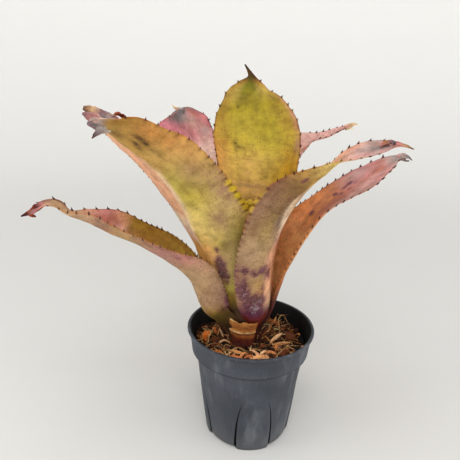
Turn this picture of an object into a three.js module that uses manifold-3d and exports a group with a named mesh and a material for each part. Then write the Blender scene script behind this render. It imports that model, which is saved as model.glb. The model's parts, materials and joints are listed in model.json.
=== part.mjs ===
// A potted bromeliad: eight stiff, spiny leaves on a short stem, in a lobed nursery pot.
// Millimetres, +Z up. The origin is the centre of the pot's underside.
// +Y points away from the side that the pot's first lobe faces, +X to the right of that side.

import * as THREE from 'three';
import { mergeVertices } from 'three/addons/utils/BufferGeometryUtils.js';
import Module from 'manifold-3d';

const wasm = await Module();
wasm.setup();

// Pot
const POT_HEIGHT = 121;
const RIM_RADIUS = 65;
const LIP_HEIGHT = 2.4;
const LIP_DEPTH = 1.8;
const LIP_ROUND = 0.6;
const COLLAR_FOOT_HEIGHT = 96.5;
const COLLAR_FOOT_RADIUS = 60;
const BODY_TOP_RADIUS = 56;
const BASE_RADIUS = 43;
const WALL = 1.6;
const FLOOR = 2;
const WALL_LEVELS = [8, 24, 40, 56, 70, 84];

// Lobes round the pot's foot, with a slit up each side of every lobe
const LOBES = 4;
const LOBE_AZIMUTH = -83.5;
const LOBE_HALF_ANGLE = 23.5;
const LOBE_HEIGHT = 80;
const LOBE_BULGE = 1.4;
const LOBE_EDGE_BLUR = [-1, 5];
const SLIT_HEIGHT = 62;
const SLIT_FOOT = 4;
const SLIT_HALF_WIDTH = 1.5;
const SLIT_TOP_HALF_WIDTH = 0.2;
const SLIT_RADII = [BASE_RADIUS - 7, BODY_TOP_RADIUS + 6];
const DRAIN_HOLES = 6;
const DRAIN_RADIUS = 4;
const DRAIN_CIRCLE = 26;

// Growing medium: its top as [radius, height], heaped a little round the stem
const MIX_TOP = [[0, 106], [20, 106], [40, 104.4], [58.8, 102]];

// Plant: the stem's axis stands a little off the pot's
const STEM = new THREE.Vector2(-6, -6);
const STEM_PROFILE = [
  [12, 94], [13, 112], [13, 132], [11.5, 139], [10.2, 146], [8.6, 152], [6, 158], [4, 164],
];
const LEAF_THICKNESS = 2.2;
const MARGIN_THICKNESS = 1.1;
const DRY_THICKNESS = 1;
const TIP_THINNING = 0.55;
const TIP_HALF_WIDTH = 0.6;
const CLEARANCE = 0.35;

// How finely each kind of piece is divided
const POT_STEPS = 72;
const SLIT_STEPS = 5;
const DRAIN_HOLE_SIDES = 12;
const MIX_STEPS = 36;
const STEM_STEPS = 20;
const LEAF_STEPS = 20;
const HEART_LEAF_STEPS = 12;
const DRY_FOOT_STEPS = 6;
const HALF_SECTION_STEPS = 4;
const ROOT_STEPS = 8;
const ROOT_SIDES = 6;

const FINISHES = {
  plastic: { color: 0x3d4144, roughness: 0.6 },
  stem: { color: 0x55251a, roughness: 0.8 },
  dryLeaf: { color: 0xb5854e, roughness: 0.9 },
  mix: { color: 0x5a3a22, roughness: 1 },
  husk: { color: 0xa8652f, roughness: 0.9 },
  straw: { color: 0xc9a46c, roughness: 0.9 },
};
const LEAF_ROUGHNESS = 0.5;

// Each leaf: the way it faces, the angle at its keel, and its stations from foot to tip, as [x, y, z, width of
// the half clockwise of the midrib, width of the other half, twist, curl of the first half, curl of the other].
const LEAVES = {
  leaf_left: {
    azimuth: 187,
    keel: 0,
    colour: 0xb58a63,
    rows: [
      [-20, -8, 108, 10, 16, 10, 40, 60], [-23, -8, 118, 15, 20, 10, 50, 65],
      [-32, -9, 128, 26, 29, 12, 60, 76], [-48, -10, 142, 35, 35, 11, 62, 85],
      [-61, -13, 175, 37, 37, 12, 66, 93], [-83, -15, 197, 34, 37, 5, 64, 61],
      [-110, -19, 215, 29, 33, 2, 60, 48], [-134, -21, 226.5, 27, 31, -2, 65, 61],
      [-154, -23, 235.5, 16, 22, -1, 65, 73], [-169, -25, 242, 5, 13, -10, 62, 67],
      [-179, -26, 250, 6, 6, -25, 50, 50], [-190, -27, 251, 4.5, 4.5, -30, 40, 40],
      [-200, -28, 245, 3, 3, -60, 30, 30], [-211, -29, 240, 0.6, 0.6, -90, 20, 20],
    ],
  },
  leaf_right: {
    azimuth: 14,
    keel: 0,
    colour: 0xb5623c,
    rows: [
      [8, -3, 122, 9, 9, 0, 36, 36], [15, -1, 132, 16, 16, 0, 42, 42], [21, 1, 146, 21, 23, 0, 47, 47],
      [25, 2, 166, 30, 32, -1, 50, 60], [33, 4, 194, 38, 36, -2, 40, 57], [46, 6, 220, 42, 37, -6, 33, 38],
      [61, 8, 242, 40, 36, -9, 25, 15], [82, 11, 260, 35, 34, -5, 15, 5], [102, 13, 274, 30, 30, -2, 5, 2],
      [122, 15, 286, 18, 21, -2, 11, 8], [135, 16, 293, 5, 5, 0, 20, 20],
      [148, 17, 293, 0.6, 0.6, 0, 20, 20],
    ],
  },
  leaf_front_right: {
    azimuth: 315,
    keel: 0,
    colour: 0xa98a6c,
    rows: [
      [4, -16, 126, 4, 8, 1, 41, 38], [10, -22, 142, 19, 23, 2, 67, 58], [11, -28, 166, 29, 31, 3, 76, 63],
      [10, -32, 196, 31, 34, 2, 69, 63], [15, -36, 228, 32, 35, 3, 59, 64],
      [25, -40, 256, 34, 36, 0, 52, 64], [41, -43, 277, 28, 29, 2, 44, 53],
      [59, -48, 296, 17, 17, 14, 23, 26], [76, -50, 307, 10, 11, 41, 14, 15],
      [90, -53, 312, 9.5, 9, 40, 15, 15], [105, -56, 316, 5, 5, 30, 15, 15],
      [116, -59, 315, 0.6, 0.6, 0, 10, 10],
    ],
  },
  leaf_front_left: {
    azimuth: 212,
    keel: 11,
    colour: 0xb29a4a,
    rows: [
      [-18, -14, 128, 9, 9, 0, 36, 36], [-24, -17, 138, 21, 25, 9, 42, 53],
      [-36, -14, 170, 32, 40, 15, 32, 80], [-41, -21, 204, 36, 48, 20, 26, 67],
      [-53, -32, 233, 38, 49, 20, 20, 48], [-67, -44, 263, 39, 43, 22, 18, 42],
      [-83, -56, 290, 38, 40, 25, 20, 40], [-98, -66, 306, 34, 35, 21, 18, 28],
      [-111, -73, 319, 24, 26, 19, 15, 28], [-121, -78, 328, 12, 12, 0, 5, 15],
      [-131, -81, 339, 4, 4, 0, 15, 15],
    ],
  },
  leaf_back_right: {
    azimuth: 52,
    keel: 0,
    colour: 0xd7a9a2,
    rows: [
      [2, 4, 138, 9, 9, 0, 40, 40], [5, 8, 148, 20, 20, 0, 64, 64], [8, 15, 176, 28, 28, 0, 86, 58],
      [13, 28, 210, 32, 32, 0, 74, 50], [19, 42, 245, 30, 31, -1, 58, 42], [29, 56, 276, 23, 26, -1, 48, 36],
      [49, 68, 298, 15, 17, 2, 38, 41], [74, 78, 305, 8, 8.5, 2, 41, 43], [96, 86, 314, 4, 4, 0, 40, 40],
      [114, 92, 317, 0.6, 0.6, 0, 20, 20],
    ],
  },
  leaf_back_left: {
    azimuth: 142,
    keel: 0,
    colour: 0xcf8790,
    rows: [
      [-15, 1, 144, 9, 9, 0, 43, 43], [-18, 4, 154, 20, 20, 0, 72, 72], [-21, 11, 185, 30, 30, 0, 92, 72],
      [-33, 22, 224, 36, 36, 0, 66, 55], [-46, 34, 260, 37, 40, 1, 42, 36],
      [-62, 45, 292, 36, 43, 2, 17, 20], [-69, 51, 310, 33, 42, -1, 12, 9],
      [-72, 54, 321, 26, 32, -4, 13, 7], [-78, 56, 328, 13, 13, 0, 20, 20],
      [-85, 57, 332, 0.6, 0.6, 0, 20, 20],
    ],
  },
  leaf_back: {
    azimuth: 95,
    keel: 0,
    colour: 0xb9a83e,
    rows: [
      [-7, 5, 150, 9, 9, 0, 49, 49], [-7, 6, 160, 18, 18, 0, 86, 86], [-5, 5, 188, 27, 27, 0, 100, 100],
      [-4, 12, 230, 36, 36, 0, 64, 64], [-1, 22, 272, 40, 40, 2, 36, 40], [-1, 33, 307, 43, 44, 1, 26, 28],
      [-5, 40, 330, 36, 38, 1, 22, 22], [-8, 44, 347, 25, 27, 1, 16, 17], [-8, 46, 357, 15, 15, 1, 14, 15],
      [-8, 47, 364, 5, 4, 1, 15, 16], [-10, 47, 369, 2, 2, 0, 15, 16], [-14, 48, 375, 0.6, 0.6, 0, 9, 10],
    ],
  },
  leaf_heart: {
    azimuth: 235,
    keel: 0,
    colour: 0xd2c02c,
    rows: [
      [-10, -12, 156, 7, 7, 0, 53, 53], [-11, -13, 166, 10, 10, 0, 67, 67],
      [-12, -13, 205, 14, 14, 0, 80, 80], [-13, -15, 225, 16, 16, 0, 70, 70],
      [-11, -17, 242, 15, 15, 0, 55, 55], [-9, -18, 252, 12, 12, 0, 45, 45],
      [-8, -18, 258, 7, 7, 0, 35, 35], [-8, -18, 261, 1.5, 1.5, 0, 30, 30],
    ],
  },
};

// Torn, papery feet of leaves that have died off, still clasping the stem under the living ones
const DRY_FEET = {
  dry_leaf_foot_front: {
    azimuth: 258,
    foot: [[15.2, 108, 12], [16.5, 117, 14], [18, 125, 15.5], [20, 132, 15.5], [22, 138, 15]],
  },
  dry_leaf_foot_right: { azimuth: 352, foot: [[15.2, 108, 5], [19, 117, 6], [26, 127, 6], [31, 137, 4]] },
  dry_leaf_foot_back: { azimuth: 120, foot: [[15.2, 112, 12], [17, 121, 15], [20, 131, 12]] },
};

// Chips of coconut husk on top of the mix: [x, y, length, width, thickness, heading]
const HUSK_CHIPS = [
  [-33, -29, 15, 9, 4, 20],
  [-14, -40, 17, 8, 4.5, -35],
  [8, -38, 19, 8, 4, 12],
  [33, -26, 16, 9, 5, 55],
  [42, 4, 14, 8, 4, 100],
  [26, 33, 17, 9, 4, 150],
  [-24, 34, 16, 9, 5, 30],
  [-43, 6, 14, 8, 4, 80],
];

// Dead roots and straws that arch over the mix: [x, y, height above the mix] along each
const DEAD_ROOTS = [
  [[22, -37, 0], [30, -32, 8], [40, -24, 9], [49, -12, 0]],
  [[-46, -18, 0], [-41, -6, 9], [-36, 8, 11], [-39, 22, 0]],
  [[33, 14, 0], [31, 22, 10], [37, 30, 13], [46, 28, 0]],
];
const DEAD_ROOT_RADIUS = 0.9;

const { degToRad: radians, radToDeg: degrees, mapLinear, smoothstep, lerp } = THREE.MathUtils;

function cubic(before, from, to, after, f) {
  const out = 0.5 * (to - before);
  const into = 0.5 * (after - from);
  const square = 3 * (to - from) - 2 * out - into;
  const cube = 2 * (from - to) + out + into;
  return from + out * f + square * f ** 2 + cube * f ** 3;
}

// The row of numbers at t, 0 to 1, on smooth curves through the rows
function rowAt(rows, t) {
  const last = rows.length - 1;
  const place = Math.min(t * last, last - 1e-6);
  const i = Math.floor(place);
  const row = (k, c) => {
    if (k < 0) return 2 * rows[0][c] - rows[1][c];
    if (k > last) return 2 * rows[last][c] - rows[last - 1][c];
    return rows[k][c];
  };
  return rows[0].map((_, c) => cubic(row(i - 1, c), row(i, c), row(i + 1, c), row(i + 2, c), place - i));
}

// A closed body through rings of points that run anticlockwise seen from the first ring's outside
function bodyThroughRings(rings) {
  const size = rings[0].length;
  const points = rings.flat();
  const faces = [];
  for (let i = 0; i < rings.length - 1; i++) {
    for (let j = 0; j < size; j++) {
      const a = i * size + j;
      const b = i * size + ((j + 1) % size);
      faces.push(a, a + size, b, b, a + size, b + size);
    }
  }
  const end = (rings.length - 1) * size;
  for (let j = 1; j < size / 2; j++) {
    // Each end is closed by a strip from side to side, because the end of a leaf is a curved slit
    const near = j - 1;
    const far = size - j;
    const pairs = [[near, j, far], [j, (far - 1 + size) % size, far]];
    for (const [p, q, r] of pairs) {
      if (p === q || q === r || p === r) continue;
      faces.push(p, q, r, end + p, end + r, end + q);
    }
  }
  const geometry = new THREE.BufferGeometry();
  const numbers = points.flatMap((p) => [p.x, p.y, p.z]);
  geometry.setAttribute('position', new THREE.Float32BufferAttribute(numbers, 3));
  geometry.setIndex(faces);
  return geometry;
}

function solid(geometry) {
  geometry.deleteAttribute('normal');
  geometry.deleteAttribute('uv');
  const merged = mergeVertices(geometry, 1e-4);
  return new wasm.Manifold(new wasm.Mesh({
    numProp: 3,
    vertProperties: new Float32Array(merged.attributes.position.array),
    triVerts: new Uint32Array(merged.index.array),
  }));
}

function geometryOf(body) {
  const mesh = body.getMesh();
  const geometry = new THREE.BufferGeometry();
  geometry.setAttribute('position', new THREE.BufferAttribute(mesh.vertProperties, 3));
  geometry.setIndex(new THREE.BufferAttribute(mesh.triVerts, 1));
  return geometry;
}

function largestPiece(body) {
  return body.decompose().reduce((best, piece) => (piece.volume() > best.volume() ? piece : best));
}

const object = new THREE.Group();

function addPiece(name, geometry, finish) {
  const material = new THREE.MeshStandardMaterial({ ...finish, metalness: 0, flatShading: true });
  const mesh = new THREE.Mesh(geometry, material);
  mesh.name = name;
  object.add(mesh);
}

// How far round from a lobe's middle its edge lies at height z: the lobe is an arch
function lobeEdge(z) {
  return z < LOBE_HEIGHT ? LOBE_HALF_ANGLE * Math.sqrt(1 - (z / LOBE_HEIGHT) ** 2) : 0;
}

function lobeBulge(azimuth, z) {
  const spacing = 360 / LOBES;
  const turned = azimuth - LOBE_AZIMUTH;
  const fromMiddle = Math.abs(turned - spacing * Math.round(turned / spacing));
  const inside = smoothstep(lobeEdge(z) - fromMiddle, ...LOBE_EDGE_BLUR);
  return LOBE_BULGE * inside * (1 - (z / LOBE_HEIGHT) ** 2);
}

function bodyRadius(z) {
  return mapLinear(z, 0, COLLAR_FOOT_HEIGHT, BASE_RADIUS, BODY_TOP_RADIUS);
}

function collarRadius(z) {
  return mapLinear(z, COLLAR_FOOT_HEIGHT, POT_HEIGHT, COLLAR_FOOT_RADIUS, RIM_RADIUS - LIP_DEPTH);
}

// The pot's section from the middle of the floor outside, up, over the rim, down inside and back
function potSection() {
  const lip = POT_HEIGHT - LIP_HEIGHT;
  const ledge = COLLAR_FOOT_HEIGHT + WALL;
  const outside = [0, ...WALL_LEVELS, COLLAR_FOOT_HEIGHT].map((z) => [bodyRadius(z), z]);
  const collar = [
    [COLLAR_FOOT_RADIUS, COLLAR_FOOT_HEIGHT], [collarRadius(lip), lip],
    [RIM_RADIUS, lip + LIP_ROUND], [RIM_RADIUS, POT_HEIGHT - LIP_ROUND],
    [RIM_RADIUS - LIP_ROUND, POT_HEIGHT], [collarRadius(POT_HEIGHT) - WALL, POT_HEIGHT],
  ];
  const inside = [
    [COLLAR_FOOT_RADIUS - WALL, ledge], [BODY_TOP_RADIUS - WALL, ledge],
    ...[...WALL_LEVELS].reverse().map((z) => [bodyRadius(z) - WALL, z]), [bodyRadius(FLOOR) - WALL, FLOOR],
  ];
  return [...outside, ...collar, ...inside];
}

function potShell() {
  const section = potSection();
  const points = [];
  const faces = [];
  for (let i = 0; i < POT_STEPS; i++) {
    const azimuth = (360 * i) / POT_STEPS;
    for (const [radius, z] of section) {
      const r = radius + lobeBulge(azimuth, z);
      points.push(r * Math.cos(radians(azimuth)), r * Math.sin(radians(azimuth)), z);
    }
  }
  const under = POT_STEPS * section.length;
  points.push(0, 0, 0, 0, 0, FLOOR);
  for (let i = 0; i < POT_STEPS; i++) {
    const here = i * section.length;
    const next = ((i + 1) % POT_STEPS) * section.length;
    for (let j = 0; j < section.length - 1; j++) {
      faces.push(here + j, next + j, here + j + 1, here + j + 1, next + j, next + j + 1);
    }
    const top = section.length - 1;
    faces.push(under, next, here, under + 1, here + top, next + top);
  }
  const geometry = new THREE.BufferGeometry();
  geometry.setAttribute('position', new THREE.Float32BufferAttribute(points, 3));
  geometry.setIndex(faces);
  return solid(geometry);
}

// One slit: a thin wedge through the wall that follows a lobe's edge and closes at its top
function slit(lobe, side) {
  const [inner, outer] = SLIT_RADII;
  const rings = [];
  for (let i = SLIT_STEPS; i >= 0; i--) {
    const z = lerp(SLIT_FOOT, SLIT_HEIGHT, i / SLIT_STEPS);
    const middle = radians(LOBE_AZIMUTH + (360 / LOBES) * lobe + side * lobeEdge(z));
    const half = lerp(SLIT_HALF_WIDTH, SLIT_TOP_HALF_WIDTH, i / SLIT_STEPS) / BASE_RADIUS;
    const corner = (r, a) => new THREE.Vector3(r * Math.cos(a), r * Math.sin(a), z);
    const [start, end] = [middle - half, middle + half];
    rings.push([corner(inner, start), corner(outer, start), corner(outer, end), corner(inner, end)]);
  }
  return solid(bodyThroughRings(rings));
}

function drainHole(i) {
  const azimuth = radians((360 * (i + 0.5)) / DRAIN_HOLES);
  const hole = new THREE.CylinderGeometry(DRAIN_RADIUS, DRAIN_RADIUS, 4 * FLOOR, DRAIN_HOLE_SIDES);
  hole.rotateX(Math.PI / 2);
  hole.translate(DRAIN_CIRCLE * Math.cos(azimuth), DRAIN_CIRCLE * Math.sin(azimuth), FLOOR / 2);
  return solid(hole);
}

function pot() {
  let shell = potShell();
  for (let lobe = 0; lobe < LOBES; lobe++) {
    shell = shell.subtract(slit(lobe, -1)).subtract(slit(lobe, 1));
  }
  for (let i = 0; i < DRAIN_HOLES; i++) {
    shell = shell.subtract(drainHole(i));
  }
  return shell;
}

// A turned body on the stem's axis, wider by grow
function stem(grow) {
  const profile = [[0, STEM_PROFILE[0][1] - grow], ...STEM_PROFILE.map(([r, z]) => [r + grow, z])];
  profile[1][1] -= grow;
  profile.push([0, STEM_PROFILE.at(-1)[1] + grow]);
  const turned = new THREE.LatheGeometry(profile.map(([r, z]) => new THREE.Vector2(r, z)), STEM_STEPS);
  turned.rotateX(Math.PI / 2);
  turned.translate(STEM.x, STEM.y, 0);
  return solid(turned);
}

function mixHeight(radius) {
  const outer = Math.max(MIX_TOP.findIndex(([r]) => r >= radius), 1);
  const [[innerRadius, innerHeight], [outerRadius, outerHeight]] = MIX_TOP.slice(outer - 1);
  return mapLinear(radius, innerRadius, outerRadius, innerHeight, outerHeight);
}

// The mix fills the pot to a little below the rim
function pottingMix() {
  const gap = CLEARANCE + WALL;
  const floor = FLOOR + CLEARANCE;
  const ledge = COLLAR_FOOT_HEIGHT + gap;
  const wall = [floor, ...WALL_LEVELS].map((z) => [bodyRadius(z) - gap, z]);
  const collar = [[BODY_TOP_RADIUS - gap, ledge], [collarRadius(ledge) - gap, ledge]];
  const profile = [[0, floor], ...wall, ...collar, ...[...MIX_TOP].reverse()];
  const turned = new THREE.LatheGeometry(profile.map(([r, z]) => new THREE.Vector2(r, z)), MIX_STEPS);
  turned.rotateX(Math.PI / 2);
  return solid(turned);
}

// A dry foot clasps the stem: [distance from the stem's axis, height, half width] turned into a leaf's stations
function claspingRows(azimuth, foot) {
  const facing = radians(azimuth);
  return foot.map(([r, z, half]) => {
    const clasp = degrees(half / r);
    return [STEM.x + r * Math.cos(facing), STEM.y + r * Math.sin(facing), z, half, half, 0, clasp, clasp];
  });
}

// A leaf is a curved sheet: at each step along its midrib a section curls up to both sides of the keel
function leafBody(leaf, thickness, margin, steps, grow) {
  const rows = leaf.rows ?? claspingRows(leaf.azimuth, leaf.foot);
  const facing = radians(leaf.azimuth);
  const outAndRound = new THREE.Vector3(-Math.sin(facing), Math.cos(facing), 0);
  const midrib = (t) => new THREE.Vector3(...rowAt(rows, t).slice(0, 3));
  const rings = [];
  for (let i = 0; i <= steps; i++) {
    const t = i / steps;
    const [x, y, z, halfBefore, halfAfter, twist, curlBefore, curlAfter] = rowAt(rows, t);
    const along = midrib(Math.min(t + 0.001, 1)).sub(midrib(Math.max(t - 0.001, 0))).normalize();
    const side = outAndRound.clone().addScaledVector(along, -outAndRound.dot(along)).normalize();
    side.applyAxisAngle(along, radians(twist));
    const up = new THREE.Vector3().crossVectors(along, side);
    const keel = radians(leaf.keel ?? 0) * Math.sin(Math.PI * t);
    const thin = lerp(1, TIP_THINNING, t);
    const upper = [];
    const lower = [];
    for (let j = -HALF_SECTION_STEPS; j <= HALF_SECTION_STEPS; j++) {
      const out = Math.abs(j) / HALF_SECTION_STEPS;
      const width = Math.max(j < 0 ? halfBefore : halfAfter, TIP_HALF_WIDTH) + grow;
      const curl = Math.max(radians(j < 0 ? curlBefore : curlAfter), 0.01);
      const turn = keel + curl * out;
      const across = (Math.sign(j) * width * (Math.sin(turn) - Math.sin(keel))) / curl;
      const rise = (width * (Math.cos(keel) - Math.cos(turn))) / curl;
      const place = new THREE.Vector3(x, y, z).addScaledVector(side, across).addScaledVector(up, rise);
      const tilt = Math.sign(j) * turn;
      const face = up.clone().multiplyScalar(Math.cos(tilt)).addScaledVector(side, -Math.sin(tilt));
      const depth = lerp(thickness, margin, out * out) * thin * 0.5 + grow;
      upper.push(place.clone().addScaledVector(face, depth));
      lower.unshift(place.clone().addScaledVector(face, -depth));
    }
    rings.push([...upper, ...lower]);
  }
  return solid(bodyThroughRings(rings));
}

// From the outermost leaf inwards, each leaf is cut back where it would touch one outside it
function rosette() {
  const placed = [stem(CLEARANCE)];
  const bodies = {};
  const place = (name, leaf, thickness, margin, steps) => {
    let body = leafBody(leaf, thickness, margin, steps, 0);
    for (const other of placed) {
      body = body.subtract(other);
    }
    bodies[name] = largestPiece(body);
    placed.push(leafBody(leaf, thickness, margin, steps, CLEARANCE));
  };
  for (const [name, leaf] of Object.entries(LEAVES)) {
    const steps = name === 'leaf_heart' ? HEART_LEAF_STEPS : LEAF_STEPS;
    place(name, leaf, LEAF_THICKNESS, MARGIN_THICKNESS, steps);
  }
  for (const [name, foot] of Object.entries(DRY_FEET)) {
    place(name, foot, DRY_THICKNESS, DRY_THICKNESS, DRY_FOOT_STEPS);
  }
  return { bodies, placed };
}

// A chip lies flat on the highest point of the mix under it
function huskChip([x, y, length, width, thickness, heading]) {
  const chip = new THREE.IcosahedronGeometry(0.5, 1);
  chip.scale(length, width, thickness);
  chip.rotateZ(radians(heading));
  const nearest = Math.max(Math.hypot(x, y) - length / 2, 0);
  chip.translate(x, y, mixHeight(nearest) + CLEARANCE + thickness / 2);
  return chip;
}

function deadRoot(points) {
  const lowest = DEAD_ROOT_RADIUS + CLEARANCE;
  const onMix = ([x, y, rise]) => new THREE.Vector3(x, y, mixHeight(Math.hypot(x, y)) + lowest + rise);
  const route = new THREE.CatmullRomCurve3(points.map(onMix));
  const section = new THREE.Shape();
  section.absarc(0, 0, DEAD_ROOT_RADIUS, 0, 2 * Math.PI);
  const options = { steps: ROOT_STEPS, extrudePath: route, curveSegments: ROOT_SIDES };
  return new THREE.ExtrudeGeometry(section, options);
}

const { bodies, placed } = rosette();
addPiece('pot', geometryOf(pot()), FINISHES.plastic);
addPiece('stem', geometryOf(stem(0)), FINISHES.stem);

for (const [name, leaf] of Object.entries(LEAVES)) {
  addPiece(name, geometryOf(bodies[name]), { color: leaf.colour, roughness: LEAF_ROUGHNESS });
}
for (const name of Object.keys(DRY_FEET)) {
  addPiece(name, geometryOf(bodies[name]), FINISHES.dryLeaf);
}

let mix = pottingMix();
for (const other of placed) {
  mix = mix.subtract(other);
}
addPiece('potting_mix', geometryOf(largestPiece(mix)), FINISHES.mix);

HUSK_CHIPS.forEach((chip, i) => addPiece(`husk_chip_${i + 1}`, huskChip(chip), FINISHES.husk));
DEAD_ROOTS.forEach((points, i) => addPiece(`dead_root_${i + 1}`, deadRoot(points), FINISHES.straw));

export default object;
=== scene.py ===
# %% [markdown]
# # A potted aechmea
# Eight stiff leaves grow from one short stem, in a lobed plastic pot full of coconut husk. Each leaf is a
# channel with spines along both edges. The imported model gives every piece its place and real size. This
# file makes the surfaces round it: blades, spines, dry tips, husk, straws and the moulded pot.

# %% Load the frame
import json
import math
import random

import bpy
import numpy as np
from mathutils import Matrix, Vector, noise


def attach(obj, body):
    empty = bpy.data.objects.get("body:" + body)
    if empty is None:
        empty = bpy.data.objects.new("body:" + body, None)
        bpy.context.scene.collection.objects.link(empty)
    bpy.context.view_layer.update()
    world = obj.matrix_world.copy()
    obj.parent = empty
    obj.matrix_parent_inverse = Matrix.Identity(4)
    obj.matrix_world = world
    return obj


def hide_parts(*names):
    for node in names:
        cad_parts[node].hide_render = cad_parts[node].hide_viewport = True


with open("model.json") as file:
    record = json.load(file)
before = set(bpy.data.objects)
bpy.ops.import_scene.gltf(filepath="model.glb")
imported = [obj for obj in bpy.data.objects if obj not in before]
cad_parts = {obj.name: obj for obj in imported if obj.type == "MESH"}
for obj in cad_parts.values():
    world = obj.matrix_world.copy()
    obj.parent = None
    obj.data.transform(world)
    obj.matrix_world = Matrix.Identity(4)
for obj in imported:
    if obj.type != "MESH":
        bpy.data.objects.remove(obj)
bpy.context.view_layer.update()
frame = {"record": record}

MM = 0.001
chance = random.Random(11)

# %% [markdown]
# ## Camera, light and floor
# The photograph looks slightly down on the plant from about half a metre, with its frame turned a little.
# The light comes from big soft boxes: one above and in front, one overhead, and one low down at each side.
# The floor is a wide pale dish whose edge curves up like a roll of paper, so that no horizon shows from any
# side.

# %% Camera
CAMERA_PLACE = Vector((-0.024, -0.4215, 0.362))
CAMERA_PITCH = 18.26
CAMERA_ROLL = 1.56
LENS = 36
SENSOR_WIDTH = 36


def new_object(name, data):
    """Puts a camera, light, mesh or curve in the scene."""
    made = bpy.data.objects.new(name, data)
    bpy.context.scene.collection.objects.link(made)
    return made


camera = new_object("camera", bpy.data.cameras.new("camera"))
camera.data.lens = LENS
camera.data.sensor_width = SENSOR_WIDTH
tilt = Matrix.Rotation(math.radians(90 - CAMERA_PITCH), 4, "X")
roll = Matrix.Rotation(math.radians(CAMERA_ROLL), 4, "Z")
camera.matrix_world = Matrix.Translation(CAMERA_PLACE) @ tilt @ roll
bpy.context.scene.camera = camera
print("camera:", round(CAMERA_PLACE.length, 3), "m from the pot's foot")

# %% Soft lights
# Place in metres and power in watts
SOFTBOXES = {
    "front": ((-0.05, -0.8, 1.3), 6.8),
    "left": ((-0.95, -0.35, 0.45), 3.9),
    "right": ((0.95, -0.4, 0.45), 3.6),
    "overhead": ((-0.05, -0.15, 1.5), 2.4),
}
SOFTBOX_WIDTH = 0.6
AIM = Vector((0, 0, 0.2))
ROOM_TINT = (0.98, 0.99, 1, 1)
ROOM_LIGHT = 0.2

for name, (place, power) in SOFTBOXES.items():
    light = bpy.data.lights.new(name, "AREA")
    light.size = SOFTBOX_WIDTH
    light.energy = power
    box = new_object(name, light)
    box.location = place
    box.rotation_euler = (AIM - Vector(place)).to_track_quat("-Z", "Y").to_euler()
    box.visible_camera = False

world = bpy.data.worlds.new("studio")
world.use_nodes = True
world.node_tree.nodes["Background"].inputs["Color"].default_value = ROOM_TINT
world.node_tree.nodes["Background"].inputs["Strength"].default_value = ROOM_LIGHT
bpy.context.scene.world = world
bpy.context.scene.view_settings.view_transform = "Standard"
print("lights:", ", ".join(SOFTBOXES))

# %% [markdown]
# ## Shader sums
# A real surface is never one colour, so each material is a sum of noises and masks. The nodes could be
# wired one by one, but a formula is shorter and easier to change. `Wire` wraps one node socket and
# overloads the usual signs, and each sign adds its Math node. Every other node comes from `Finish.node`.


# %% Wires and finishes
class Wire:
    """One output socket, used in a formula like a number."""

    def __init__(self, finish, socket):
        self.finish = finish
        self.socket = socket

    def out(self, name):
        """Another output of the same node."""
        return Wire(self.finish, self.socket.node.outputs[name])

    def maths(self, operation, *others):
        return self.finish.node("Math", {"operation": operation}, dict(enumerate((self, *others))))

    def step(self, low, high):
        """0 below low and 1 above high, smooth between."""
        values = {"Value": self, "From Min": low, "From Max": high}
        return self.finish.node("MapRange", {"interpolation_type": "SMOOTHSTEP"}, values)

    def __add__(self, other):
        return self.maths("ADD", other)

    def __sub__(self, other):
        return self.maths("SUBTRACT", other)

    def __rsub__(self, other):
        return self.finish.node("Math", {"operation": "SUBTRACT"}, {0: other, 1: self})

    def __mul__(self, other):
        return self.maths("MULTIPLY", other)

    __radd__ = __add__
    __rmul__ = __mul__


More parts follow.
